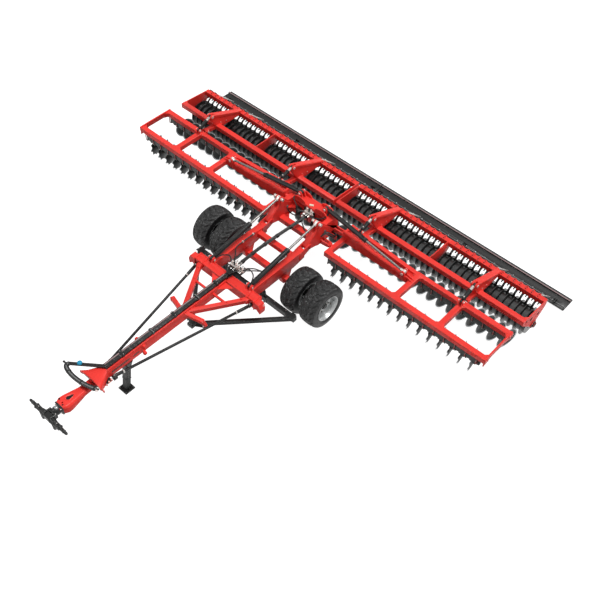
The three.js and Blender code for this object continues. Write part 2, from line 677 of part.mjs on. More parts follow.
// ---------------------------------------------------------------- disc rows
function makeDisc(x, beamY, discY, angle) {
  const reach = angle > 0 ? [x - 1, x + SHANK_WIDTH] : [x - SHANK_WIDTH, x + 1];
  const shank = prism('x', [
    [beamY + 25, 640], [beamY + 25, 580], [discY - 30, DISC_Z - 30], [discY + 30, DISC_Z + 30],
  ], ...reach);
  const disc = new THREE.CylinderGeometry(DISC_RADIUS, DISC_RADIUS, DISC_THICK, DISC_SIDES);
  disc.rotateZ(Math.PI / 2);
  disc.rotateZ(THREE.MathUtils.degToRad(angle));
  disc.translate(x, discY, DISC_Z);
  return join([shank, solid(disc)]);
}

function makeDiscRow(startX, count, beamY, discY, angle) {
  const underBeam = BEAM_TOP - BEAM_HIGH - GAP;
  const inner = startX - (count - 1) * DISC_PITCH;
  const span = [inner - ARM_WIDTH / 2, startX + ARM_WIDTH / 2];
  const pieces = [
    box(span, [beamY + 15, beamY + BEAM - 15], [underBeam - STRIP_THICK, underBeam]),
    box(span, [beamY + 15, beamY + 45], [565, underBeam - STRIP_THICK / 2]),
  ];
  for (let i = 0; i < count; i += 1) {
    pieces.push(makeDisc(startX - i * DISC_PITCH, beamY, discY, angle));
  }
  return join(pieces);
}

// the discs under the tilt frame close the strip between the two wings
function makeCentreRow() {
  const half = (CENTRE_ROW_COUNT - 1) * DISC_PITCH / 2;
  const top = TILT_BEAM_BOTTOM - GAP;
  const pieces = [
    box([-half - 60, half + 60], [TILT_BEAM_REAR - 60, TILT_BEAM_REAR - 20], [660, top]),
  ];
  for (let i = 0; i < CENTRE_ROW_COUNT; i += 1) {
    const x = half - i * DISC_PITCH;
    pieces.push(makeDisc(x, TILT_BEAM_REAR - 85, CENTRE_ROW_Y, REAR_ROW_ANGLE));
  }
  pieces.push(box([-half - 60, half + 60], [TILT_BEAM_REAR - 60, TILT_BEAM_REAR - 20], [575, 680]));
  return join(pieces);
}

// ---------------------------------------------------------------- wing frame
function makeWingFrame() {
  const z = [BEAM_TOP - BEAM_HIGH, BEAM_TOP];
  const frontBeam = [FRONT_BEAM_Y, FRONT_BEAM_Y + BEAM];
  const middleBeam = [MIDDLE_BEAM_Y, MIDDLE_BEAM_Y + BEAM];
  const plate = WING_HALF - END_PLATE;
  const pieces = [
    box([WING_INNER_X, plate + 5], frontBeam, z),
    box([CROSS_MIDDLE_X - BEAM / 2, CROSS_OUTER_X], [middleBeam[0] + 10, middleBeam[0] + 10 + MIDDLE_SLIM], z),
    box([CROSS_OUTER_X - BEAM / 2, plate + 5], middleBeam, z),
    prism('x', [
      [frontBeam[0], 655], [frontBeam[0] + 120, 690], [frontBeam[0] + 230, 740], [middleBeam[0] - 120, 740],
      [middleBeam[0], 700], [middleBeam[1], 640], [middleBeam[1], BEAM_TOP], [frontBeam[0], BEAM_TOP],
    ], plate, WING_HALF),
  ];
  for (const x of [CROSS_OUTER_X, CROSS_MIDDLE_X]) {
    pieces.push(box([x - BEAM / 2, x + BEAM / 2], [frontBeam[1] - 5, middleBeam[0] + 15], z));
  }
  pieces.push(box([WING_INNER_X, WING_INNER_X + 100], [frontBeam[1] - 5, BOOM_FRONT_Y + 5], z));
  const boomSide = [
    [CROSS_MIDDLE_X, z[0]], [CROSS_MIDDLE_X, BEAM_TOP], [WING_INNER_X, BOOM_TOP], [WING_INNER_X, z[0]],
  ];
  pieces.push(prism('y', boomSide, BOOM_FRONT_Y, BOOM_FRONT_Y + BOOM_FRONT_WIDTH));
  pieces.push(prism('y', boomSide, BOOM_REAR_Y, BOOM_REAR_Y + BOOM_REAR_WIDTH));
  pieces.push(box([WING_INNER_X, WING_INNER_X + 50], [BOOM_FRONT_Y, BOOM_REAR_Y + 10],
    [z[0], BOOM_TOP - 10]));
  const between = [BOOM_FRONT_Y + BOOM_FRONT_WIDTH - 5, BOOM_REAR_Y + 5];
  pieces.push(box([FOLD_EYE.x - 80, CROSS_MIDDLE_X], between, [z[0], z[0] + 90]));
  for (const y of HINGE_KNUCKLES) {
    pieces.push(prism('y', [
      [WING_INNER_X + 20, 760], [WING_INNER_X + 20, 897], ...round(HINGE_X, HINGE_Z, HINGE_LUG, 90, 270),
    ], y - KNUCKLE / 2, y + KNUCKLE / 2));
    const reach = KNUCKLE / 2 + LUG_PLATE + RUN * 3;
    pieces.push(rod([HINGE_X, y - reach, HINGE_Z], [HINGE_X, y + reach, HINGE_Z], HINGE_PIN));
  }
  for (const offset of [-1, 1]) {
    const a = FOLD_Y + offset * (EYE_WIDE / 2 + RUN) + Math.min(offset, 0) * LUG_PLATE;
    pieces.push(prism('y', [
      [FOLD_EYE.x - 60, z[0] + 50], [FOLD_EYE.x + 110, z[0] + 50],
      ...round(FOLD_EYE.x, FOLD_EYE.z, EYE_RADIUS + 5, 0, 180),
    ], a, a + LUG_PLATE));
  }
  for (const offset of [-1, 1]) {
    const plateFace = FOLD_Y + offset * (EYE_WIDE / 2 + RUN + LUG_PLATE);
    pieces.push(rod([FOLD_EYE.x, plateFace - offset * 5, FOLD_EYE.z],
      [FOLD_EYE.x, plateFace + offset * PIN_HEAD, FOLD_EYE.z], CYL_PIN));
  }
  for (const { x, front } of DEPTH) {
    for (const offset of [-1, 1]) {
      const a = x + offset * DEPTH_LUG_GAP / 2 + Math.min(offset, 0) * SMALL_LUG;
      pieces.push(prism('x', [
        [front[0] - 40, 800], [front[0] + 60, 800], ...round(front[0], front[1], 38, 0, 180),
      ], a, a + SMALL_LUG));
    }
    for (const side of [-1, 1]) {
      const a = x + side * (LINK_HALF + GAP) + Math.min(side, 0) * SMALL_LUG;
      pieces.push(prism('x', [
        [BOOM_REAR_Y + 60, z[0] + 5], ...round(LINK_Y, LINK_Z, 40, -90, 90),
        [BOOM_REAR_Y + 60, z[0] + 95],
      ], a, a + SMALL_LUG));
    }
    pieces.push(rod([x - 75, LINK_Y, LINK_Z], [x + 75, LINK_Y, LINK_Z], LINK_PIN));
  }
  return join(pieces);
}

// ---------------------------------------------------------------- roller frame
function makeRollerFrame() {
  const frontZ = [ROLLER_FRONT_TOP - BEAM_HIGH, ROLLER_FRONT_TOP];
  const rearZ = [ROLLER_REAR_TOP - ROLLER_REAR_BEAM, ROLLER_REAR_TOP];
  const rearY = [ROLLER_REAR_Y, ROLLER_REAR_Y + ROLLER_REAR_BEAM];
  const x = [ROLLER_INNER_X, ROLLER_HALF];
  const bearing = [[ROLLER_Y, ROLLER_RADIUS, ROLLER_SHAFT + PIN_PLAY]];
  const side = [
    [ROLLER_FRONT_Y, ROLLER_FRONT_TOP], [ROLLER_FRONT_Y, frontZ[0]],
    ...round(ROLLER_Y, ROLLER_RADIUS, 80, 200, 340), [rearY[1], rearZ[0] - 60], [rearY[1], ROLLER_REAR_TOP],
  ];
  const pieces = [
    box(x, [ROLLER_FRONT_Y, ROLLER_FRONT_Y + BEAM], frontZ),
    box(x, rearY, rearZ),
  ];
  for (const plateX of [ROLLER_INNER_X, ROLLER_SPLIT_X - PLATE / 2, ROLLER_HALF - PLATE]) {
    pieces.push(prism('x', side, plateX, plateX + PLATE, bearing));
  }
  for (const { x: towerX, rear } of DEPTH) {
    const half = TOWER_WIDTH / 2;
    const [py, pz] = rear;
    const tower = prism('x', [
      [1430, 700], [2070, 700], [rearY[1] - 20, ROLLER_REAR_TOP + 20], [1420, pz - 60],
      ...round(py, pz, 45, 60, 180), [py - 45, pz - 80], [ROLLER_FRONT_Y - 20, 840],
      [ROLLER_FRONT_Y + 20, 760],
    ], towerX - half, towerX + half);
    const slot = box([towerX - DEPTH_LUG_GAP / 2, towerX + DEPTH_LUG_GAP / 2],
      [py - 100, py + 110], [pz - 110, pz + 100]);
    pieces.push(tower.subtract(slot));
    pieces.push(prism('x', [
      [ROLLER_FRONT_Y + 40, 725], [ROLLER_FRONT_Y + 40, 815], ...round(LINK_Y, LINK_Z, 40, 90, 270),
    ], towerX - LINK_HALF, towerX + LINK_HALF, [[LINK_Y, LINK_Z, LINK_PIN + PIN_PLAY]]));
  }
  return join(pieces);
}

function makeRoller(x0, x1) {
  const at = (x) => [x, ROLLER_Y, ROLLER_RADIUS];
  return join([
    rod(at(x0 + 40), at(x1 - 40), ROLLER_RADIUS, 24),
    rod(at(x0), at(x1), ROLLER_SHAFT, 12),
  ]);
}

function makeScrapers() {
  const z = ROLLER_REAR_TOP - ROLLER_REAR_BEAM - GAP;
  const y = [ROLLER_REAR_Y + 10, ROLLER_REAR_Y + ROLLER_REAR_BEAM - 10];
  const spans = [[ROLLER_INNER_X + PLATE + 2, ROLLER_SPLIT_X - PLATE / 2 - 2],
    [ROLLER_SPLIT_X + PLATE / 2 + 2, ROLLER_HALF - PLATE - 2]];
  return spans.map(([a, b]) => {
    const pieces = [box([a, b], y, [z - 12, z])];
    const count = Math.floor((b - a - 60) / SCRAPER_PITCH);
    for (let i = 0; i <= count; i += 1) {
      const x = a + 40 + i * SCRAPER_PITCH;
      pieces.push(box([x, x + 14], [y[0], y[0] + 50], [520, z - 5]));
    }
    return join(pieces);
  });
}

function makeBoard() {
  const z = [BOARD_Z, BOARD_Z + BOARD_THICK];
  const y = [BOARD_Y, BOARD_Y + BOARD_DEPTH];
  const pieces = [
    box([BOARD_INNER_X, BOARD_HALF], y, z),
    box([BOARD_INNER_X, BOARD_HALF], [y[1] - 110, y[1] - 70], [z[1] - 5, z[1] + 35]),
  ];
  const lug = ROLLER_REAR_Y + ROLLER_REAR_BEAM + GAP;
  for (const x of [120, ROLLER_SPLIT_X, ROLLER_HALF - 60]) {
    pieces.push(bar([x, lug + 35, 690], [x, y[0] + 60, z[1] - 15], 50, 25));
    pieces.push(box([x - 40, x + 40], [lug, lug + 50], [650, 740]));
  }
  return join(pieces);
}

// ---------------------------------------------------------------- assembly
addNode('drawbar', makeDrawbar(), RED());
addNode('drawbar_neck', makeNeck(), RED());
addNode('hose_channel', makeHoseChannel(), BLACK());
addNode('main_frame', makeMainFrame(), RED());
addNode('axle_beam', makeAxle(), RED());
addNode('guard_frame', makeGuardFrame(), BLACK());
addNode('stay_rods', makeStays(), BLACK());
addNode('jack_bracket', makeJackBracket(), GREY());
addNode('jack_leg', makeJack(), GREY());
addNode('hitch_yoke', makeHitchYoke(), BLACK());
addNode('hitch_cross_shaft', makeCrossShaft(), BLACK());
addPair('tyre_inner', makeTyre(WHEEL_X[0]), RUBBER);
addPair('tyre_outer', makeTyre(WHEEL_X[1]), RUBBER);
addPair('wheel_rims', makeRims(), SILVER);

const liftFront = [ARM_X, LIFT_FRONT.y, LIFT_FRONT.z];
const liftRear = [ARM_X, LIFT_REAR.y, LIFT_REAR.z];
addPair('lift_barrel', makeBarrel(liftFront, liftRear, CYL_RADIUS), BLACK);
addPair('lift_rod', makeRod(liftFront, liftRear), CHROME);
addNode('tilt_frame', makeTiltFrame(), RED());
const foldBase = [FOLD_BASE.x, FOLD_Y, FOLD_BASE.z];
const foldEye = [FOLD_EYE.x, FOLD_Y, FOLD_EYE.z];
addNode('centre_disc_row', makeCentreRow(), GREY());
addPair('fold_barrel', makeBarrel(foldBase, foldEye, FOLD_RADIUS), BLACK);
addPair('fold_rod', makeRod(foldBase, foldEye), CHROME);

addPair('wing_frame', makeWingFrame(), RED);
// the discs of a row all face the same way, on both wings
const frontRow = (angle) =>
  makeDiscRow(FRONT_ROW_X, FRONT_ROW_COUNT, FRONT_BEAM_Y, FRONT_ROW_Y, angle);
const rearRow = (angle) => makeDiscRow(REAR_ROW_X, REAR_ROW_COUNT, MIDDLE_BEAM_Y, REAR_ROW_Y, angle);
addNode('front_disc_row_left', frontRow(FRONT_ROW_ANGLE), GREY());
addNode('front_disc_row_right', mirrored(frontRow(-FRONT_ROW_ANGLE)), GREY());
addNode('rear_disc_row_left', rearRow(REAR_ROW_ANGLE), GREY());
addNode('rear_disc_row_right', mirrored(rearRow(-REAR_ROW_ANGLE)), GREY());
addPair('roller_frame', makeRollerFrame(), RED);
DEPTH.forEach((place, i) =>
  addPair(['depth_cylinder_outer', 'depth_cylinder_inner'][i], makeDepthCylinder(place), BLACK));
addPair('roller_inner', makeRoller(ROLLER_INNER_X, ROLLER_SPLIT_X - 5), STEEL);
addPair('roller_outer', makeRoller(ROLLER_SPLIT_X + 5, ROLLER_HALF), STEEL);
const [scraperInner, scraperOuter] = makeScrapers();
addPair('scraper_bar_inner', scraperInner, BLACK);
addPair('scraper_bar_outer', scraperOuter, BLACK);
addPair('level_board', makeBoard(), BLACK);

// stand the whole machine centred on the origin
const bounds = new THREE.Box3().setFromObject(assembly);
for (const mesh of assembly.children) {
  mesh.geometry.translate(0, -(bounds.min.y + bounds.max.y) / 2, -bounds.min.z);
}

export default assembly;
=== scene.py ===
"""Looks of the trailed folding disc harrow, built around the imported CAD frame.

Metres, +Z up, +X is the machine's left side and -Y points forward to the hitch.
Shapes are written with y = 0 near the front disc beam; Y0 carries them to the frame.
"""
import json
import math
import random

import bmesh
import bpy
from mathutils import Matrix, Vector


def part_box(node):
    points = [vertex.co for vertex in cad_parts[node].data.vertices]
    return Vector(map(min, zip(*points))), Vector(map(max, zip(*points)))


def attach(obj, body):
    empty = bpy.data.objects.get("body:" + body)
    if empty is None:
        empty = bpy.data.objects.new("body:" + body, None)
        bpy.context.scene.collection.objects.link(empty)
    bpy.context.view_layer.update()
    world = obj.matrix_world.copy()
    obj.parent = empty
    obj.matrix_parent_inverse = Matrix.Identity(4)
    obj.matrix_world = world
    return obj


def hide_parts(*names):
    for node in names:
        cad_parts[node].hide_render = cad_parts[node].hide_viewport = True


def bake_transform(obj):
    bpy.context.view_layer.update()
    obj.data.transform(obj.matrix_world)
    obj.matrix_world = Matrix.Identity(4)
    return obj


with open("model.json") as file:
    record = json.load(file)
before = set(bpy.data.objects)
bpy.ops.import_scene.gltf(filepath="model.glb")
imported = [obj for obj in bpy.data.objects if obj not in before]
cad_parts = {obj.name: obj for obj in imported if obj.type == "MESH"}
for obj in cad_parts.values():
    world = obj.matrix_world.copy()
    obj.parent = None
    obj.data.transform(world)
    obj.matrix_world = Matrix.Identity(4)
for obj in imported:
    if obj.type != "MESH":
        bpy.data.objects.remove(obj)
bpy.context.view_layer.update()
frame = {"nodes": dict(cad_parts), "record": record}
BODIES = frame["record"]["behaviour"]["bodies"]
BODY_OF = {node: body for body, members in BODIES.items() for node in members}
BOARD_REAR = 3.120
Y0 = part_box("level_board_left")[1].y - BOARD_REAR


# ---------------------------------------------------------------- finishes
def srgb(r, g, b):
    def linear(c):
        c /= 255
        return c / 12.92 if c <= 0.04045 else ((c + 0.055) / 1.055) ** 2.4
    return (linear(r), linear(g), linear(b), 1)


def scaled(color, k):
    return tuple(min(1, c * k) for c in color[:3]) + (1,)


def finish(name, color, rough, metal=0.0, vary=0.12, size=4.0, bump=0.15, bump_size=120.0,
           second=None, amount=0.0, second_size=14.0, second_rough=0.6, shine=0.3):
    """A coated or bare surface: uneven tone and gloss, a fine bump, and patches of a second colour."""
    mat = bpy.data.materials.new(name)
    mat.use_nodes = True
    tree = mat.node_tree
    shader = tree.nodes["Principled BSDF"]
    shader.inputs["Metallic"].default_value = metal
    shader.inputs["Specular IOR Level"].default_value = shine
    place = tree.nodes.new("ShaderNodeTexCoord").outputs["Object"]

    def noise(scale, detail):
        node = tree.nodes.new("ShaderNodeTexNoise")
        node.inputs["Scale"].default_value = scale
        node.inputs["Detail"].default_value = detail
        tree.links.new(place, node.inputs["Vector"])
        return node.outputs["Fac"]

    def spread(value, low, high, to_low, to_high):
        node = tree.nodes.new("ShaderNodeMapRange")
        for key, number in zip(("From Min", "From Max", "To Min", "To Max"), (low, high, to_low, to_high)):
            node.inputs[key].default_value = number
        tree.links.new(value, node.inputs["Value"])
        return node.outputs["Result"]

    def mix(factor, a, b):
        node = tree.nodes.new("ShaderNodeMix")
        node.data_type = "RGBA"
        for socket, value in ((node.inputs[6], a), (node.inputs[7], b)):
            if isinstance(value, tuple):
                socket.default_value = value
            else:
                tree.links.new(value, socket)
        tree.links.new(factor, node.inputs[0])
        return node.outputs[2]

    tone = spread(noise(size, 5.0), 0.3, 0.7, 0.0, 1.0)
    tint = mix(tone, scaled(color, 1 - vary), scaled(color, 1 + vary))
    gloss = spread(noise(size * 3, 4.0), 0.3, 0.7, max(0.03, rough - 0.07), rough + 0.09)
    if second:
        mask = spread(noise(second_size, 9.0), 0.72 - 0.4 * amount, 0.76 - 0.4 * amount, 0.0, 1.0)
        tint = mix(mask, tint, second)
        rougher = tree.nodes.new("ShaderNodeMix")
        tree.links.new(mask, rougher.inputs[0])
        tree.links.new(gloss, rougher.inputs[2])
        rougher.inputs[3].default_value = second_rough
        gloss = rougher.outputs[0]
    tree.links.new(tint, shader.inputs["Base Color"])
    tree.links.new(gloss, shader.inputs["Roughness"])
    relief = tree.nodes.new("ShaderNodeBump")
    relief.inputs["Strength"].default_value = bump
    relief.inputs["Distance"].default_value = 0.001
    tree.links.new(noise(bump_size, 6.0), relief.inputs["Height"])
    tree.links.new(relief.outputs["Normal"], shader.inputs["Normal"])
    return mat


RED_TONE = srgb(238, 58, 50)
DUST = srgb(150, 128, 112)
RED = finish("paint_red", RED_TONE, 0.46, 0.0, 0.07, 2.2, 0.12, 160,
             scaled(RED_TONE, 0.72), 0.1, 7, 0.55, 0.22)
# edge finish for the red paint: lighter than the paint, partly wear and partly a painted highlight along
# the edges
RED_EDGE_WEAR_HIGHLIGHT = finish("paint_red_edge_wear_and_highlight", scaled(RED_TONE, 1.2), 0.4, 0.0, 0.12, 9, 0.3, 200,
                  srgb(226, 132, 116), 0.34, 22, 0.45, 0.35)
# shaded copy of the red paint: painted shade on rims, sheets and faces that the light doesn't reach
RED_SHADED = finish("paint_red_shaded", srgb(190, 40, 38), 0.5, 0.0, 0.1, 6, 0.2, 160,
                  scaled(RED_TONE, 0.5), 0.15, 12, 0.6, 0.2)
BLACK = finish("paint_black", srgb(11, 12, 12), 0.42, 0.0, 0.22, 3.0, 0.2, 140,
               srgb(34, 34, 33), 0.16, 9, 0.6, 0.35)
# edge finish for the black paint: lighter than the paint, partly wear and partly a painted highlight along
# the edges
BLACK_EDGE_WEAR_HIGHLIGHT = finish("paint_black_edge_wear_and_highlight", srgb(52, 54, 53), 0.35, 0.3, 0.3, 12, 0.3, 200,
                    srgb(128, 128, 126), 0.36, 24, 0.35)
BAND = finish("paint_slate", srgb(35, 38, 36), 0.5, 0.0, 0.18, 5.0, 0.35, 150,
              srgb(56, 54, 50), 0.2, 11, 0.7)
# edge finish for the slate paint: lighter than the paint, partly wear and partly a painted highlight along
# the edges
BAND_EDGE_WEAR_HIGHLIGHT = finish("paint_slate_edge_wear_and_highlight", srgb(66, 70, 66), 0.45, 0.2, 0.2, 12, 0.3, 200,
                   srgb(134, 130, 122), 0.3, 24, 0.5)
DARKRED = finish("paint_deep_red", srgb(146, 26, 28), 0.42, 0.0, 0.15, 8.0, 0.2, 160, DUST, 0.12, 20, 0.7)
DISC = finish("disc_steel", srgb(40, 43, 43), 0.42, 0.35, 0.3, 6.0, 0.4, 90,
              srgb(60, 50, 42), 0.22, 10, 0.75)
DISC_RIM = finish("disc_ground_edge", srgb(150, 154, 156), 0.28, 0.9, 0.2, 14.0, 0.3, 220,
                  srgb(100, 88, 78), 0.3, 26, 0.5)
ROLL = finish("roller_steel", srgb(22, 23, 23), 0.3, 0.0, 0.3, 5.0, 0.35, 80,
              srgb(62, 63, 63), 0.2, 8, 0.25, 0.6)
STEEL = finish("machined_steel", srgb(150, 152, 153), 0.32, 0.9, 0.15, 10.0, 0.25, 160,
               srgb(96, 92, 88), 0.2, 18, 0.5)
CHROME = finish("chrome", srgb(122, 120, 117), 0.3, 0.7, 0.03, 3.0, 0.02, 60)
ZINC = finish("zinc_plate", srgb(206, 202, 198), 0.34, 0.6, 0.14, 18.0, 0.2, 240,
              srgb(222, 206, 176), 0.25, 26, 0.45)
PIN = finish("pin_steel", srgb(222, 206, 200), 0.36, 0.5, 0.14, 16.0, 0.2, 240,
             srgb(160, 148, 144), 0.25, 30, 0.5)
RUBBER = finish("tyre_rubber", srgb(10, 10, 11), 0.46, 0.0, 0.25, 5.0, 0.5, 220,
                srgb(30, 29, 28), 0.14, 7, 0.8, 0.45)
HOSE = finish("hose_rubber", srgb(11, 12, 12), 0.42, 0.0, 0.2, 20.0, 0.5, 400,
              srgb(32, 32, 31), 0.18, 30, 0.7, 0.4)
# light grey that stands for a painted highlight on the hoop's hoses and along the levelling board
HIGHLIGHT_GREY = finish("painted_highlight_grey", srgb(118, 119, 119), 0.45, 0.0, 0.15, 20.0, 0.5, 400,
                   srgb(78, 78, 77), 0.2, 30, 0.7, 0.4)
RIM = finish("rim_silver", srgb(196, 198, 198), 0.34, 0.5, 0.1, 5.0, 0.15, 200,
             srgb(130, 126, 120), 0.16, 12, 0.55)
BLUE = finish("cap_blue", srgb(24, 150, 190), 0.35, 0.0, 0.1, 30.0, 0.1, 300,
              srgb(20, 110, 150), 0.2, 40, 0.5)
CREAM = finish("cream_plastic", srgb(232, 222, 196), 0.4, 0.0, 0.08, 30.0, 0.1, 300,
               srgb(200, 190, 164), 0.2, 40, 0.5)
GREY = finish("cast_grey", srgb(112, 114, 113), 0.5, 0.3, 0.2, 9.0, 0.5, 120,
              srgb(80, 78, 74), 0.25, 16, 0.6)
# grey-pink that stands for a painted highlight along the hose channel and the levelling board
HIGHLIGHT_STRIPE = finish("painted_highlight_grey_pink", srgb(166, 140, 140), 0.42, 0.0, 0.12, 6.0, 0.2, 200,
                srgb(110, 94, 94), 0.25, 14, 0.5)
# brown-grey for flat plates standing in for recesses: painted shade
RECESS_SHADE = finish("painted_recess_shade", srgb(112, 74, 68), 0.6, 0.0, 0.15, 9.0, 0.3, 160,
                srgb(84, 56, 52), 0.2, 14, 0.7)
SHADE = finish("deep_shade", srgb(16, 13, 13), 0.8, 0.0, 0.2, 9.0, 0.3, 160, srgb(30, 20, 20), 0.2, 14, 0.8)


# ---------------------------------------------------------------- shapes: (points, faces)
def moved(part, matrix):
    return [matrix @ Vector(p) for p in part[0]], part[1]


UPRIGHT = Matrix.Rotation(-math.pi / 2, 4, "Y")     # local +X points up


def aimed(at, along, up=(0, 0, 1)):
    """Matrix that takes local +X to a direction, with local +Z as near to up as can be."""
    x = Vector(along).normalized()
    z = Vector(up)
    z = z - x * z.dot(x)
    if z.length < 1e-6:
        z = Vector((0, 1, 0)) - x * x.y
    z.normalize()
    y = z.cross(x)
    return Matrix.Translation(Vector(at)) @ Matrix((x, y, z)).transposed().to_4x4()


def box(x, y, z):
    points = [(a, b, c) for a in x for b in y for c in z]
    return points, [(0, 1, 3, 2), (4, 6, 7, 5), (0, 4, 5, 1), (2, 3, 7, 6), (0, 2, 6, 4), (1, 5, 7, 3)]


def prism(axis, outline, start, end):
    """An outline in the plane square to an axis, carried from one place to another along it."""
    order = {"x": lambda u, v, w: (w, u, v), "y": lambda u, v, w: (u, w, v),
             "z": lambda u, v, w: (u, v, w)}[axis]
    n = len(outline)
    points = [order(u, v, w) for w in (start, end) for u, v in outline]
    faces = [tuple(range(n)), tuple(range(2 * n - 1, n - 1, -1))]
    faces += [(i, (i + 1) % n, (i + 1) % n + n, i + n) for i in range(n)]
    return points, faces


def arc(cu, cv, radius, start, end, steps=8):
    angles = [math.radians(start + (end - start) * i / steps) for i in range(steps + 1)]
    return [(cu + radius * math.cos(a), cv + radius * math.sin(a)) for a in angles]


def lathe(profile, sides=24, matrix=None, loop=False):
    """Rings of (place along X, radius), joined in order; a zero radius closes to a point."""
    points, faces, rings = [], [], []
    for x, radius in profile:
        if radius < 1e-6:
            rings.append([len(points)])
            points.append((x, 0, 0))
            continue
        rings.append(list(range(len(points), len(points) + sides)))
        points += [(x, radius * math.cos(math.tau * i / sides), radius * math.sin(math.tau * i / sides))
                   for i in range(sides)]
    pairs = list(zip(rings, rings[1:])) + ([(rings[-1], rings[0])] if loop else [])
    for a, b in pairs:
        for i in range(sides):
            j = (i + 1) % sides
            corners = [a[i % len(a)], a[j % len(a)], b[j % len(b)], b[i % len(b)]]
            unique = tuple(dict.fromkeys(corners))
            if len(unique) > 2:
                faces.append(unique)
    if not loop:
        faces += [tuple(r) for r in (rings[0], rings[-1]) if len(r) > 1]
    return moved((points, faces), matrix or Matrix())


def rod(a, b, radius, sides=16):
    a, b = Vector(a), Vector(b)
    return lathe([(0, radius), ((b - a).length, radius)], sides, aimed(a, b - a))


def boss(at, along, radius, rise, top, height, sides=18):
    """Round boss that narrows from its radius at rise to the top radius at height."""
    return lathe([(0, radius), (rise, radius), (height, top), (height, 0)], sides, aimed(at, along))


def circle(count, radius, shift=0):
    """Evenly spaced (u, v) offsets on a circle; shift is in steps."""
    angles = [math.tau * (i + shift) / count for i in range(count)]
    return [(radius * math.cos(a), radius * math.sin(a)) for a in angles]


def smooth_path(knots, steps=6):
    """Catmull-Rom curve through the knots."""
    knots = [Vector(k) for k in knots]
    padded = [2 * knots[0] - knots[1], *knots, 2 * knots[-1] - knots[-2]]
    path = []
    for p0, p1, p2, p3 in zip(padded, padded[1:], padded[2:], padded[3:]):
        for i in range(steps):
            t = i / steps
            path.append(0.5 * (2 * p1 + (p2 - p0) * t + (2 * p0 - 5 * p1 + 4 * p2 - p3) * t * t
                               + (3 * p1 - p0 - 3 * p2 + p3) * t ** 3))
    return path + [knots[-1]]


def sweep(path, section, side=None):
    """A section of (across, up) points carried along a path; side keeps the across direction fixed."""
    path = [Vector(p) for p in path]
    points, faces, n = [], [], len(section)
    across = Vector(side).normalized() if side else None
    for i, p in enumerate(path):
        along = (path[min(i + 1, len(path) - 1)] - path[max(i - 1, 0)]).normalized()
        if side:
            u = across
        else:
            u = across if across else (Vector((0, 0, 1)) if abs(along.z) < 0.9 else Vector((1, 0, 0)))
            u = (u - along * u.dot(along)).normalized()
            across = u
        v = along.cross(u).normalized()
        points += [p + u * a + v * b for a, b in section]
    for i in range(len(path) - 1):
        for k in range(n):
            j = (k + 1) % n
            faces.append((i * n + k, i * n + j, (i + 1) * n + j, (i + 1) * n + k))
    last = (len(path) - 1) * n
    return points, faces + [tuple(range(n)), tuple(range(last + n - 1, last - 1, -1))]


def tube(path, radius, sides=10):
    return sweep(path, arc(0, 0, radius, 0, 360 - 360 / sides, sides - 1))


def hose(knots, steps, radius, sides):
    return tube(smooth_path(knots, steps), radius, sides)


def strap(path, width, thick, side):
    w, t = width / 2, thick / 2
    return sweep(path, [(-w, -t), (w, -t), (w, t), (-w, t)], side)


def bolt(at, along, size=0.012):
    """Washer, hexagon head and a rounded end."""
    m = aimed(at, along)
    washer = lathe([(0, size * 1.25), (size * 0.25, size * 1.25)], 12, m)
    head = lathe([(size * 0.25, size), (size * 0.9, size), (size * 1.05, size * 0.8)], 6, m)
    return joined(washer, head)


def nut_end(at, along, size=0.012):
    m = aimed(at, along)
    return joined(bolt(at, along, size), lathe([(size, size * 0.55), (size * 1.6, size * 0.5)], 8, m))


def joined(*parts):
    points, faces = [], []
    for p, f in parts:
        base = len(points)
        points += list(p)
        faces += [tuple(base + i for i in face) for face in f]
    return points, faces


class Build:
    """Gathers shapes, each with a finish, into one mesh."""

    def __init__(self):
        self.points, self.faces, self.mats, self.finishes = [], [], [], []

    def put(self, part, mat):
        if mat not in self.finishes:
            self.finishes.append(mat)
        base = len(self.points)
        self.points += [tuple(p) for p in part[0]]
        self.faces += [tuple(base + i for i in face) for face in part[1]]
        self.mats += [self.finishes.index(mat)] * len(part[1])
        return self

    def make(self, name, body, replaces=(), slot=None, bevel=0.0, edge=None, flip=False, angle=38):
        mesh = bpy.data.meshes.new(name)
        sign = -1 if flip else 1
        mesh.from_pydata([(x * sign, y + Y0, z) for x, y, z in self.points], [], self.faces)
        mesh.polygons.foreach_set("material_index", self.mats)
        return piece(name, mesh, body, self.finishes, replaces, bevel, edge, angle)


def piece(name, mesh, body, finishes, replaces=(), bevel=0.0, edge=None, angle=38):
    """Turns a mesh into a shown piece: outward faces, narrow edges in a lighter finish that is partly wear
    and partly a painted highlight, smooth curved sides.
    """
    for mat in finishes:
        mesh.materials.append(mat)
    bm = bmesh.new()
    bm.from_mesh(mesh)
    bmesh.ops.recalc_face_normals(bm, faces=bm.faces)
    bm.to_mesh(mesh)
    bm.free()
    obj = bpy.data.objects.new(name, mesh)
    bpy.context.scene.collection.objects.link(obj)
    if bevel:
        if edge:
            mesh.materials.append(edge)
        cut = obj.modifiers.new("edges", "BEVEL")
        cut.width = bevel
        cut.segments = 1
        cut.limit_method = "ANGLE"
        cut.angle_limit = math.radians(35)
        cut.use_clamp_overlap = False
        cut.material = len(mesh.materials) - 1 if edge else -1
        evaluated = obj.evaluated_get(bpy.context.evaluated_depsgraph_get())
        shaped = bpy.data.meshes.new_from_object(evaluated)
        obj.modifiers.clear()
        obj.data = shaped
        bpy.data.meshes.remove(mesh)
        mesh = shaped
    mesh.shade_smooth()
    mesh.set_sharp_from_angle(angle=math.radians(angle))
    if body:
        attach(obj, body)
    if replaces:
        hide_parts(*replaces)
    return obj


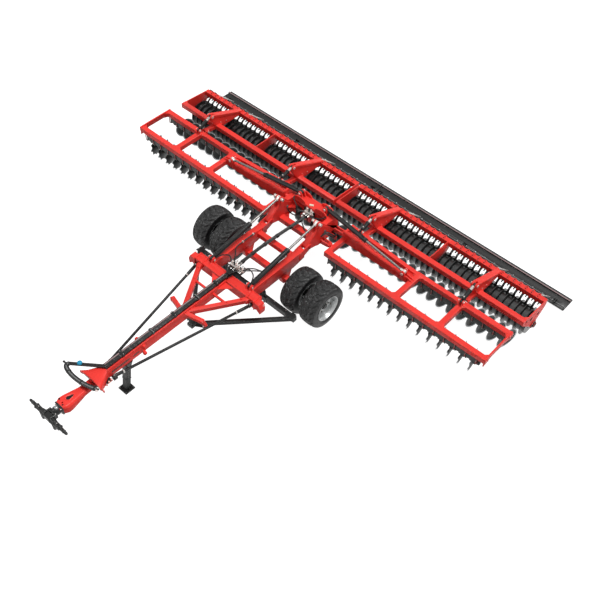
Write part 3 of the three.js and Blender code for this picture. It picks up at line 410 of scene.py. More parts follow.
def dress(node, mat, edge, bevel=0.004):
    """The CAD node's own shape as a piece with narrow edges painted lighter, partly as wear and partly as a
    painted highlight.
    """
    mesh = frame["nodes"][node].data.copy()
    mesh.materials.clear()
    bm = bmesh.new()
    bm.from_mesh(mesh)
    bmesh.ops.remove_doubles(bm, verts=bm.verts, dist=1e-5)
    bmesh.ops.dissolve_limit(bm, angle_limit=math.radians(0.6), verts=bm.verts, edges=bm.edges)
    bm.to_mesh(mesh)
    bm.free()
    for face in mesh.polygons:
        face.material_index = 0
    return piece(node + "_shell", mesh, BODY_OF[node], [mat], (node,), bevel, edge)


def sides():
    return ((False, "left"), (True, "right"))


# ---------------------------------------------------------------- disc rows
DISC_R = 0.255
DISC_Z = 0.335
PITCH = 0.25
BEAM_UNDER = 0.735


def blade(notches, flip):
    """Dished disc on the X axis, hollow towards -X; notches are cut in its rim."""
    around = notches * 6 if notches else 36
    rings = (0.035, 0.12, 0.2, 0.232, DISC_R)
    points, faces, mats = [], [], []
    turn = -1 if flip else 1
    for face in (0, 1):
        for k, radius in enumerate(rings):
            for i in range(around):
                a = math.tau * i / around
                r = radius
                if notches and k >= 3:
                    r -= (0.036 if k == 4 else 0.018) * (1, 0.85, 0.2, 0, 0.2, 0.85)[i % 6]
                thick = 0.003 if k < 4 else 0.001
                x = -0.052 * (r / DISC_R) ** 2 + (thick if face else -thick)
                points.append((x * turn, r * math.cos(a), r * math.sin(a)))
    n = len(rings) * around
    for face in (0, 1):
        for k in range(len(rings) - 1):
            for i in range(around):
                j = (i + 1) % around
                a, b = face * n + k * around, face * n + (k + 1) * around
                faces.append((a + i, a + j, b + j, b + i))
                mats.append(1 if k == 3 else 0)
    for k in (0, len(rings) - 1):
        for i in range(around):
            j = (i + 1) % around
            a = k * around
            faces.append((a + i, a + j, n + a + j, n + a + i))
            mats.append(1 if k else 0)
    return points, faces, mats


def disc_unit(build, x, beam_y, disc_y, angle, notches):
    """One disc with its hub, bolts and arm; mount() builds the sprung mount. The hub lies on the bulging
    side.
    """
    hub = 1 if angle > 0 else -1
    place = Matrix.Translation((x, disc_y, DISC_Z)) @ Matrix.Rotation(math.radians(angle), 4, "Z")
    points, faces, mats = blade(notches, hub < 0)
    spun = place @ Matrix.Rotation(random.uniform(0, 6), 4, "X")
    points = [spun @ Vector(p) for p in points]
    build.put((points, [f for f, m in zip(faces, mats) if m == 0]), DISC)
    build.put((points, [f for f, m in zip(faces, mats) if m == 1]), DISC_RIM)
    out = place @ Matrix.Scale(hub, 4, (1, 0, 0))
    build.put(lathe([(-0.012, 0.056), (0.006, 0.07), (0.02, 0.07), (0.026, 0.05), (0.05, 0.047),
                     (0.06, 0.056), (0.108, 0.056), (0.118, 0.045), (0.12, 0)], 18, out), BLACK)
    build.put(lathe([(-0.02, 0), (-0.02, 0.022), (-0.006, 0.03)], 12, out), BLACK)
    for u, v in circle(5, 0.047):
        build.put(bolt(out @ Vector((-0.007, u, v)), out.to_3x3() @ Vector((-1, 0, 0)), 0.009), ZINC)
    axle = place @ Vector((hub * 0.085, 0, 0))
    arm_x = x + hub * 0.085
    knots = [(axle.x, axle.y + 0.005, axle.z), (arm_x, disc_y - 0.005, DISC_Z + 0.1),
             (arm_x, (disc_y + beam_y + 0.07) / 2 + 0.05, 0.52), (arm_x - hub * 0.01, beam_y + 0.13, 0.59),
             (x, beam_y + 0.085, 0.625)]
    build.put(strap(smooth_path(knots, 4), 0.052, 0.026, (1, 0, 0)), BLACK)
    build.put(rod((axle.x - 0.03, axle.y, axle.z), (axle.x + 0.03, axle.y, axle.z), 0.05, 16), BLACK)


def mount(build, x, beam_y, clip):
    """Sprung mount under the beam: square housing with a cap at each end, and a clamp strap."""
    y, half = beam_y + 0.012, 0.106
    section = [(y, 0.718), (y, 0.6), (y + 0.024, 0.566), (y + 0.072, 0.566), (y + 0.096, 0.6),
               (y + 0.096, 0.718)]
    build.put(prism("x", section, x - half, x + half), BAND)
    build.put(box((x - 0.03, x + 0.03), (y + 0.02, y + 0.08), (0.545, 0.57)), BLACK)
    for span in ((x - half - 0.006, x - half + 0.02), (x + half - 0.02, x + half + 0.006)):
        build.put(box(span, (y - 0.004, y + 0.1), (0.56, 0.6)), BLACK)
    cx = x + PITCH / 2
    if clip:
        build.put(strap([(cx, y - 0.008, BEAM_UNDER - 0.004), (cx, y - 0.008, 0.6), (cx, y + 0.02, 0.556),
                         (cx, y + 0.076, 0.556), (cx, y + 0.1, 0.6), (cx, y + 0.1, BEAM_UNDER - 0.004)],
                        0.028, 0.008, (1, 0, 0)), DARKRED)
        for z in (0.585, 0.69):
            build.put(bolt((cx, y - 0.012, z), (0, -1, 0), 0.009), ZINC)


def disc_row(name, node, start_x, count, beam_y, disc_y, angle, notches):
    for flip, side in sides():
        random.seed(count + notches)
        units, mounts = Build(), Build()
        for i in range(count):
            x = start_x - i * PITCH
            disc_unit(units, x, beam_y, disc_y, -angle if flip else angle, notches)
            mount(mounts, x, beam_y, i < count - 1 or angle > 0)
        inner = start_x - (count - 1) * PITCH
        mounts.put(box((inner - 0.105, start_x + 0.105), (beam_y + 0.015, beam_y + 0.105),
                       (0.718, BEAM_UNDER - 0.0005)), BAND)
        units.make(f"{name}_discs_{side}", f"wing_{side}", (f"{node}_{side}",), "disc_grey", flip=flip)
        mounts.make(f"{name}_mounts_{side}", f"wing_{side}", (), "disc_grey", 0.003, BAND_EDGE_WEAR_HIGHLIGHT, flip)


def centre_row():
    units = Build()
    random.seed(3)
    for i in range(6):
        x = 0.625 - i * PITCH
        disc_unit(units, x, 0.6, 0.985, -16, 0)
    units.put(box((-0.685, 0.685), (0.66, 0.7), (0.575, 0.7595)), BAND)
    for i in range(6):
        x = 0.625 - i * PITCH
        units.put(box((x - 0.1, x + 0.1), (0.61, 0.73), (0.57, 0.65)), BAND)
    units.make("centre_discs", "tilt_frame", ("centre_disc_row",), "disc_grey")


# ---------------------------------------------------------------- rollers and scrapers
ROLL_Y = 1.795
ROLL_Z = 0.32
DRUM_R = 0.25
RING_R = 0.318
RING_PITCH = 0.145
ROLLER_END = 4.87
ROLLER_SPLIT = 2.5
ROLLERS = {"inner": (0.03, ROLLER_SPLIT - 0.005), "outer": (ROLLER_SPLIT + 0.005, ROLLER_END)}
DRUM_INSET = 0.04
FIRST_RING = 0.075
SHAFT_R = 0.03


def rollers():
    for flip, side in sides():
        for row, (x0, x1) in ROLLERS.items():
            build = Build()
            at = Matrix.Translation((0, ROLL_Y, ROLL_Z))
            profile = [(x0 + DRUM_INSET, SHAFT_R), (x0 + DRUM_INSET, DRUM_R)]
            x = x0 + FIRST_RING
            while x < x1 - 0.06:
                profile += [(x - 0.026, DRUM_R), (x - 0.014, DRUM_R + 0.02), (x - 0.007, RING_R),
                            (x + 0.007, RING_R), (x + 0.014, DRUM_R + 0.02), (x + 0.026, DRUM_R)]
                x += RING_PITCH
            profile += [(x1 - DRUM_INSET, DRUM_R), (x1 - DRUM_INSET, SHAFT_R)]
            build.put(lathe(profile, 48, at), ROLL)
            build.put(lathe([(x0, SHAFT_R), (x1, SHAFT_R)], 20, at), STEEL)
            for end, out in ((x0 + DRUM_INSET, -1), (x1 - DRUM_INSET, 1)):
                build.put(lathe([(end, 0.075), (end + out * 0.012, 0.07), (end + out * 0.014, SHAFT_R)],
                                20, at), BLACK)
                for u, v in circle(6, 0.13):
                    build.put(bolt((end, ROLL_Y + u, ROLL_Z + v), (out, 0, 0), 0.01), ZINC)
            node = f"roller_{row}_{side}"
            build.make(f"ring_{node}", node, (node,), "roller_steel", flip=flip, angle=30)


CLAMP = [(2.052, 0.64), (2.054, 0.7665), (2.176, 0.7665), (2.178, 0.64)]


def scrapers():
    for flip, side in sides():
        for row, (x0, x1) in ROLLERS.items():
            build = Build()
            a, b = x0 + 0.045, x1 - 0.03
            build.put(box((a, b), (2.085, 2.145), (0.618, 0.652)), BLACK)
            x = x0 + FIRST_RING + RING_PITCH / 2
            while x < x1 - 0.07:
                path = smooth_path([(x, 2.1, 0.64), (x, 2.06, 0.645), (x, 2.015, 0.63), (x, 1.98, 0.595),
                                    (x, 1.968, 0.55), (x, 1.975, 0.515)], 3)
                build.put(strap(path, 0.05, 0.012, (1, 0, 0)), BLACK)
                build.put(box((x - 0.052, x + 0.052), (1.962, 1.986), (0.5, 0.53)), BLACK)
                build.put(bolt((x, 2.06, 0.655), (0, -1, 0), 0.011), ZINC)
                build.put(strap([(x, y, z) for y, z in CLAMP], 0.062, 0.016, (1, 0, 0)), RED)
                build.put(nut_end((x, 2.09, 0.774), (0, 0, 1), 0.013), RED)
                build.put(nut_end((x, 2.145, 0.774), (0, 0, 1), 0.013), RED)
                middle = x + RING_PITCH / 2
                build.put(box((middle - 0.011, middle + 0.011), (2.02, 2.09), (0.625, 0.65)), BLACK)
                x += RING_PITCH
            build.make(f"scrapers_{row}_{side}", f"wing_{side}", (f"scraper_bar_{row}_{side}",),
                       "black_paint", 0.002, BLACK_EDGE_WEAR_HIGHLIGHT, flip)


# ---------------------------------------------------------------- wheels
WHEEL_Y = -0.856
WHEEL_Z = 0.486
TYRE_R = 0.486
LUGS = 20
WHEELS = {"inner": 1.022, "outer": 1.542}
RIM_SECTION = [(-0.178, 0.272), (-0.19, 0.29), (-0.175, 0.288), (-0.155, 0.279), (0.155, 0.279),
               (0.175, 0.288), (0.19, 0.29), (0.186, 0.276), (0.168, 0.27), (0.15, 0.262), (0.1, 0.25),
               (0.04, 0.246), (0.02, 0.2), (0.045, 0.165), (0.05, 0.11), (0.03, 0.105), (0.028, 0.048),
               (0.008, 0.048), (0.01, 0.105), (0.03, 0.165), (0.005, 0.2), (0.02, 0.25), (0.08, 0.256),
               (0.14, 0.266), (-0.14, 0.266)]
HUB_SECTION = [(0.8, 0.0475), (0.8, 0.085), (1.0, 0.085), (1.02, 0.1), (1.045, 0.1), (1.05, 0.07),
               (1.3, 0.065), (1.51, 0.065), (1.52, 0.1), (1.565, 0.1), (1.57, 0.072), (1.64, 0.066),
               (1.66, 0.05), (1.665, 0)]


def tyre_mesh(centre_x):
    """Flotation tyre: rounded carcass with wavy lugs that meet in a V, cut deep at the shoulders."""
    around = LUGS * 14
    across = [i / 14 for i in range(-14, 15)]
    wall = [(0.19, 0.448), (0.2, 0.41), (0.205, 0.37), (0.2, 0.33), (0.188, 0.305), (0.172, 0.29),
            (0.15, 0.2855)]
    rings = []
    for i in range(around):
        ring = []
        for x, r in reversed(wall):
            ring.append((-x, r))
        for s in across:
            crown = TYRE_R - 0.024 * abs(s) ** 2.6 - 0.0115
            width = 0.176 * s
            wave = 0.95 * abs(s) + 0.13 * math.sin(abs(s) * 9.0) + (0.5 if s < 0 else 0)
            phase = (i * LUGS / around + wave) % 1
            gap = abs(phase - 0.5) * 2
            lug = min(1, max(0, (gap - 0.2) / 0.16))
            fine = 1 if abs(((phase * 3) % 1) - 0.5) > 0.09 else 0.55
            edge = min(1, max(0, (abs(s) - 0.03) / 0.05))
            ring.append((width, crown + 0.02 * (lug * fine - 0.45) * (0.35 + 0.65 * edge)))
        for x, r in wall:
            ring.append((x, r))
        rings.append(ring)
    n = len(rings[0])
    points = []
    for i, ring in enumerate(rings):
        a = math.tau * i / around
        c, s = math.cos(a), math.sin(a)
        points += [(centre_x + x, WHEEL_Y + r * c, WHEEL_Z + r * s) for x, r in ring]
    faces = []
    for i in range(around):
        j = (i + 1) % around
        faces += [(i * n + k, i * n + k + 1, j * n + k + 1, j * n + k) for k in range(n - 1)]
        faces.append((i * n + n - 1, i * n, j * n, j * n + n - 1))
    return points, faces


def wheels():
    for flip, side in sides():
        body = f"wheels_{side}"
        rims = Build()
        for row, x in WHEELS.items():
            tyre = Build().put(tyre_mesh(x), RUBBER)
            for r, w in ((0.345, 0.2075), (0.43, 0.196)):
                for sign in (-1, 1):
                    ring = [(x + sign * w * 0.985, WHEEL_Y + r * math.cos(math.tau * k / 72),
                             WHEEL_Z + r * math.sin(math.tau * k / 72)) for k in range(73)]
                    tyre.put(strap(ring, 0.006, 0.006, (1, 0, 0)), RUBBER)
            tyre.make(f"tyre_{row}_tread_{side}", body, (f"tyre_{row}_{side}",), "tyre_rubber",
                      flip=flip, angle=28)
            at = Matrix.Translation((x, WHEEL_Y, WHEEL_Z))
            rims.put(lathe(RIM_SECTION, 48, at, loop=True), RIM)
            for u, v in circle(8, 0.138, 0.5):
                rims.put(nut_end((x + 0.046, WHEEL_Y + u, WHEEL_Z + v), (1, 0, 0), 0.013), ZINC)
            for u, v in circle(12, 0.222):
                rims.put(lathe([(0.0, 0.017), (0.03, 0.017), (0.03, 0.0)], 12,
                               Matrix.Translation((x + 0.006, WHEEL_Y + u, WHEEL_Z + v))), BLACK)
            valve = ((x + 0.1, WHEEL_Y + 0.24, WHEEL_Z), (x + 0.15, WHEEL_Y + 0.235, WHEEL_Z))
            rims.put(rod(*valve, 0.006, 8), BLACK)
        hub = Matrix.Translation((0, WHEEL_Y, WHEEL_Z))
        rims.put(lathe(HUB_SECTION, 28, hub), BLACK)
        for u, v in circle(6, 0.058):
            rims.put(bolt((1.575, WHEEL_Y + u, WHEEL_Z + v), (1, 0, 0), 0.007), ZINC)
        rims.make(f"wheel_dishes_{side}", body, (f"wheel_rims_{side}",), "rim_silver", flip=flip)


# ---------------------------------------------------------------- cylinders
BARREL_LENGTH = 1.11
BARREL_R = {"lift": 0.052, "fold": 0.046}
MOUTH_R = 0.0265
PISTON_R = 0.024
PISTON_LENGTH = 1.12
EYE_R, EYE_HALF = 0.045, 0.0295


def barrel(build, base, eye, length, radius, side_axis):
    """Cylinder barrel: eye with bush, closed end, welded ports with a pipe, and a gland at the mouth."""
    base, eye = Vector(base), Vector(eye)
    m = aimed(base, eye - base)
    gland = radius + 0.006
    build.put(lathe([(0.05, 0.0), (0.05, 0.026), (0.07, 0.044), (0.085, radius), (length - 0.065, radius),
                     (length - 0.063, gland), (length - 0.012, gland), (length, radius - 0.006),
                     (length, MOUTH_R), (length - 0.05, MOUTH_R), (length - 0.05, 0)], 28, m), BLACK)
    cross = Vector(side_axis)
    build.put(rod(base - cross * EYE_HALF, base + cross * EYE_HALF, EYE_R, 24), BLACK)
    build.put(rod(base, m @ Vector((0.075, 0, 0)), 0.026, 16), BLACK)
    for offset, head in ((-0.075, -1), (0.075, 1)):
        build.put(lathe([(0.0, 0.024), (0.008, 0.026), (0.01, 0.0)], 16,
                        aimed(base + cross * offset, cross * head)), PIN)
    for place in (0.12, length - 0.09):
        build.put(lathe([(0, 0.017), (0.02, 0.017), (0.022, 0.012), (0.034, 0.012)], 10,
                        m @ Matrix.Translation((place, 0, radius - 0.004)) @ UPRIGHT), BLACK)
    pipe = [m @ Vector(p) for p in ((length - 0.09, 0, radius + 0.028), (length - 0.13, 0, radius + 0.03),
                                    (length - 0.2, 0.014, radius + 0.012), (0.24, 0.014, radius + 0.012),
                                    (0.17, 0.014, radius + 0.03))]
    build.put(hose(pipe, 4, 0.007, 8), BLACK)


def piston(build, base, eye, length, side_axis):
    """Chrome rod with a plated collar, an eye and its pin."""
    base, eye = Vector(base), Vector(eye)
    m = aimed(eye, base - eye)
    build.put(lathe([(0.035, 0.0), (0.035, PISTON_R), (length, PISTON_R), (length, 0)], 24, m), CHROME)
    build.put(lathe([(0.036, 0.032), (0.08, 0.03), (0.09, 0.0245)], 20, m), ZINC)
    cross = Vector(side_axis)
    build.put(rod(eye - cross * EYE_HALF, eye + cross * EYE_HALF, EYE_R, 24), ZINC)
    build.put(rod(eye - cross * 0.0298, eye + cross * 0.0298, 0.0195, 18), PIN)


LIFT_X, LIFT_EYE_YZ = 0.53, (0.098, 1.38)
LIFT_A, LIFT_B = Vector((LIFT_X, -1.842, 1.047)), Vector((LIFT_X, *LIFT_EYE_YZ))
FOLD_A, FOLD_B = Vector((0.35, 0.6, 1.314)), Vector((2.439, 0.6, 0.961))


def cylinders():
    for flip, side in sides():
        for kind, a, b, axis in (("lift", LIFT_A, LIFT_B, (1, 0, 0)), ("fold", FOLD_A, FOLD_B, (0, 1, 0))):
            outer, inner = Build(), Build()
            barrel(outer, a, b, BARREL_LENGTH, BARREL_R[kind], axis)
            piston(inner, a, b, PISTON_LENGTH, axis)
            for build, shown, node, slot in ((outer, "cylinder", "barrel", "black_paint"),
                                             (inner, "piston", "rod", "chrome_rod")):
                node = f"{kind}_{node}_{side}"
                build.make(f"{kind}_{shown}_{side}", node, (node,), slot, flip=flip)


STOP_CLIPS = 4
LINK_YZ = (1.01, 0.8)
DEPTH = {"outer": (3.724, (0.783, 0.951), (1.169, 1.125)), "inner": (1.138, (0.8, 1.05), (1.15, 1.185))}


def depth_cylinders():
    for flip, side in sides():
        for row, (x, front, rear) in DEPTH.items():
            build = Build()
            a, b = Vector((x, *front)), Vector((x, *rear))
            m, far = aimed(a, b - a), (b - a).length
            build.put(lathe([(0.035, 0.0), (0.035, 0.03), (0.05, 0.042), (far * 0.55, 0.042),
                             (far * 0.56, 0.048), (far * 0.66, 0.048), (far * 0.68, 0.03),
                             (far * 0.68, 0)], 24, m), BLACK)
            build.put(lathe([(far * 0.66, 0.0), (far * 0.66, 0.02), (far, 0.02), (far, 0)], 18, m), CHROME)
            for i in range(STOP_CLIPS):
                start = far * (0.69 + 0.055 * i)
                clip = [(start, 0.02), (start, 0.034), (start + 0.016, 0.034), (start + 0.016, 0.02)]
                build.put(lathe(clip, 18, m, loop=True), ZINC)
            for spot in (a, b):
                for half, radius, sides_of, mat in ((0.0235, 0.032, 20, BLACK), (0.07, 0.016, 14, PIN)):
                    reach = Vector((half, 0, 0))
                    build.put(rod(spot - reach, spot + reach, radius, sides_of), mat)
                for out in (-1, 1):
                    build.put(lathe([(0, 0.023), (0.009, 0.024), (0.013, 0.014), (0.013, 0)], 14,
                                    aimed(spot + Vector((out * 0.045, 0, 0)), (out, 0, 0))), PIN)
            build.put(moved(lathe([(0, 0.014), (0.03, 0.014), (0.03, 0.0)], 10),
                            m @ Matrix.Translation((0.09, 0, 0.036)) @ UPRIGHT), ZINC)
            build.make(f"depth_ram_{row}_{side}", f"wing_{side}", (f"depth_cylinder_{row}_{side}",),
                       "black_paint", flip=flip)


# ---------------------------------------------------------------- hitch and neck
YOKE_Y = -6.125
SHAFT_Y = -6.305
HITCH_Z = 0.858


def hitch():
    joint = Build()
    at = Matrix.Translation((0, YOKE_Y, HITCH_Z)) @ Matrix.Rotation(math.pi / 2, 4, "Z")
    joint.put(lathe([(-0.1, 0.03), (-0.085, 0.06), (-0.05, 0.082), (0, 0.09), (0.045, 0.08), (0.06, 0.1),
                     (0.075, 0.1), (0.08, 0.05)], 24, at), BLACK)
    joint.put(lathe([(0.94, 0.0), (0.94, 0.04), (0.965, 0.036), (0.97, 0.0)], 16,
                    Matrix.Translation((0, YOKE_Y, 0)) @ UPRIGHT), STEEL)
    for x in (-0.08, 0.08):
        for z in (0.805, 0.911):
            joint.put(nut_end((x, -6.2, z), (0, -1, 0), 0.014), ZINC)
    joint.put(box((-0.1, 0.1), (-6.2, -6.176), (0.79, 0.926)), BLACK)
    joint.make("hitch_knuckle", "hitch_yoke", (), "black_paint", 0.003, BLACK_EDGE_WEAR_HIGHLIGHT)

    flange = Build()
    flange.put(box((-0.105, 0.105), (-6.072, -6.047), (0.765, 0.947)), BLACK)
    for x in (-0.08, 0.08):
        for z in (0.79, 0.922):
            flange.put(nut_end((x, -6.074, z), (0, -1, 0), 0.013), ZINC)
    # the light rings round the teardrop hole and the two small holes use the edge finish, partly a painted
    # highlight; the dark insides and the hole's floor are painted shade
    outline = arc(0, -5.855, 0.05, 180, 360, 12) + [(0.022, -5.745), (0, -5.728), (-0.022, -5.745)]
    ring = [(u, v, 0.951 - 0.106 * max(0.0, v + 5.88)) for u, v in outline]
    flange.put(tube(ring + ring[:2], 0.011, 8), RED_EDGE_WEAR_HIGHLIGHT)
    for spot, size in (((-0.095, -5.975), 0.02), ((0.045, -6.012), 0.017)):
        at = Matrix.Translation((*spot, 0.9535)) @ UPRIGHT
        flange.put(lathe([(0, size * 1.35), (0.004, size * 1.3), (0.004, size)], 16, at), RED_EDGE_WEAR_HIGHLIGHT)
        flange.put(lathe([(0, size), (0.0045, size), (0.0045, 0)], 16, at), SHADE)
    floor = [(u * 0.8, v + 0.004, z + 0.001) for (u, v, z) in ring]
    flange.put((floor, [tuple(range(len(floor)))]), SHADE)
    flange.make("neck_flange", "chassis", (), "red_paint")

    shaft = Build()
    for turn in (-1, 1):
        out = Matrix.Translation((0, SHAFT_Y, HITCH_Z)) @ Matrix.Scale(turn, 4, (1, 0, 0))
        shaft.put(lathe([(0.106, 0.044), (0.106, 0.062), (0.15, 0.062), (0.15, 0.054), (0.19, 0.054),
                         (0.2, 0.047), (0.31, 0.047), (0.318, 0.056), (0.335, 0.056), (0.34, 0.035),
                         (0.43, 0.0335), (0.435, 0.038), (0.445, 0.038), (0.45, 0.03), (0.51, 0.026),
                         (0.524, 0.018), (0.524, 0)], 20, out), BLACK)
        outline = arc(SHAFT_Y, HITCH_Z, 0.056, 0, 180, 10) + arc(SHAFT_Y, 0.69, 0.05, 180, 360, 8)
        shaft.put(prism("x", outline, turn * 0.146, turn * 0.18), BLACK)
        shaft.put(prism("x", arc(SHAFT_Y, 0.69, 0.03, 0, 345, 14), turn * 0.18, turn * 0.186), GREY)
        shaft.put(rod((turn * 0.255, SHAFT_Y, 0.79), (turn * 0.255, SHAFT_Y, 0.925), 0.011, 10), ZINC)
    shaft.put(box((-0.074, 0.074), (-6.357, -6.253), (0.805, 0.911)), BLACK)
    shaft.make("hitch_sleeves", "hitch_shaft", (), "black_paint", 0.003, BLACK_EDGE_WEAR_HIGHLIGHT)


# ---------------------------------------------------------------- hoses on the drawbar
HOOP = [(0, -5.0, 1.049), (-0.54, -5.405, 1.025), (-0.56, -5.445, 1.001), (-0.49, -5.49, 1.001),
        (-0.3, -5.52, 1.001), (-0.07, -5.505, 1.001), (0.13, -5.455, 1.001), (0.24, -5.41, 1.001)]
CHANNEL_LOW, CHANNEL_HIGH = 1.0153, 1.0703


def side_by_side(path, count, pitch, radius, build, mats, lift=0.0):
    """Hoses laid flat beside each other along one path."""
    path = [Vector(p) for p in path]
    for k in range(count):
        offset = (k - (count - 1) / 2) * pitch
        row = []
        for i, p in enumerate(path):
            along = (path[min(i + 1, len(path) - 1)] - path[max(i - 1, 0)]).normalized()
            across = along.cross(Vector((0, 0, 1))).normalized()
            row.append(p + across * offset + Vector((0, 0, lift)))
        build.put(tube(row, radius, 8), mats[k % len(mats)])


def drawbar_hoses():
    run = Build()
    ys = (-5.02, -1.99)
    run.put(box((-0.055, 0.055), ys, (CHANNEL_LOW, CHANNEL_LOW + 0.014)), BLACK)
    run.put(box((-0.055, -0.049), ys, (CHANNEL_LOW, CHANNEL_HIGH)), BLACK)
    run.put(box((0.049, 0.055), ys, (CHANNEL_LOW, CHANNEL_HIGH)), BLACK)
    # the grey-pink strip inside the channel is a painted highlight
    run.put(box((-0.049, -0.024), ys, (CHANNEL_LOW + 0.014, 1.064)), HIGHLIGHT_STRIPE)
    for x in (-0.008, 0.014, 0.036):
        path = [(x, y, 1.056) for y in (ys[0], (ys[0] + ys[1]) / 2, ys[1])]
        run.put(tube(path, 0.0125, 8), HOSE)
    for x in (-0.036, -0.008, 0.02):
        path = [(x, -1.99, 1.056), (x * 1.1, -1.9, 1.05), (x * 1.2, -1.82, 1.035), (x * 1.2, -1.79, 1.02)]
        run.put(hose(path, 3, 0.0125, 8), HOSE)
    ramp = [(-1.99, CHANNEL_LOW), (-1.83, 0.992), (-1.83, 1.006), (-1.99, 1.03)]
    run.put(prism("x", ramp, -0.055, 0.055), BLACK)
    for y in (-4.62, -3.9, -3.35, -2.75, -2.25):
        run.put(box((-0.066, 0.062), (y - 0.028, y + 0.028), (1.02, 1.079)), BLACK)
        run.put(box((-0.07, 0.066), (y - 0.012, y + 0.012), (1.016, 1.084)),
                GREY if y in (-3.9, -2.75) else BLACK)
        for x in (-0.052, 0.048):
            run.put(bolt((x, y, 1.083), (0, 0, 1), 0.009), ZINC)
    run.make("drawbar_hose_run", "chassis", ("hose_channel",), "black_paint", 0.002, BLACK_EDGE_WEAR_HIGHLIGHT)

    hoop = Build()
    straight = smooth_path([HOOP[0], (-0.27, -5.203, 1.037), HOOP[1]], 5)
    side_by_side(straight, 2, 0.036, 0.02, hoop, [HOSE])
    side_by_side([p + Vector((0, 0, 0.02)) for p in straight[:-1]], 1, 0, 0.016, hoop, [HOSE])
    side_by_side([p - Vector((0, 0, 0.02)) for p in straight], 1, 0, 0.016, hoop, [HOSE])
    curve = smooth_path(HOOP[1:], 5)
    # the middle hose of the three is light grey as a painted highlight along the hoop
    side_by_side(curve, 3, 0.03, 0.018, hoop, [HOSE, HIGHLIGHT_GREY, HOSE])
    side_by_side(curve, 2, 0.03, 0.018, hoop, [HOSE], -0.03)
    for i in (4, 12, 20, 28):
        spot = curve[i]
        along = (curve[i + 1] - curve[i - 1]).normalized()
        hoop.put(moved(box((-0.012, 0.012), (-0.047, 0.047), (-0.02, 0.02)), aimed(spot, along)), BLACK)
    end = Vector(HOOP[-1])
    along = (end - Vector(HOOP[-2])).normalized()
    across = along.cross(Vector((0, 0, 1)))
    for k, mat in ((-0.028, ZINC), (0.0, BLACK), (0.028, PIN)):
        coupler = [(0, 0.016), (0.012, 0.019), (0.03, 0.019), (0.034, 0.012), (0.05, 0.012), (0.05, 0)]
        hoop.put(lathe(coupler, 14, aimed(end + across * k, along)), mat)
    hoop.put(lathe([(0, 0.014), (0.05, 0.017), (0.085, 0.024), (0.09, 0.021), (0.09, 0)], 14,
                   aimed((-0.56, -5.43, 1.012), (-0.65, -0.2, 0.45))), BLACK)
    cap = Matrix.Translation((-0.383, -5.275, 1.05)) @ UPRIGHT
    hoop.put(lathe([(0, 0.05), (0.016, 0.05), (0.03, 0.042), (0.04, 0.024), (0.043, 0)], 20, cap), BLUE)
    hoop.make("hose_hoop", "chassis", (), "black_paint")


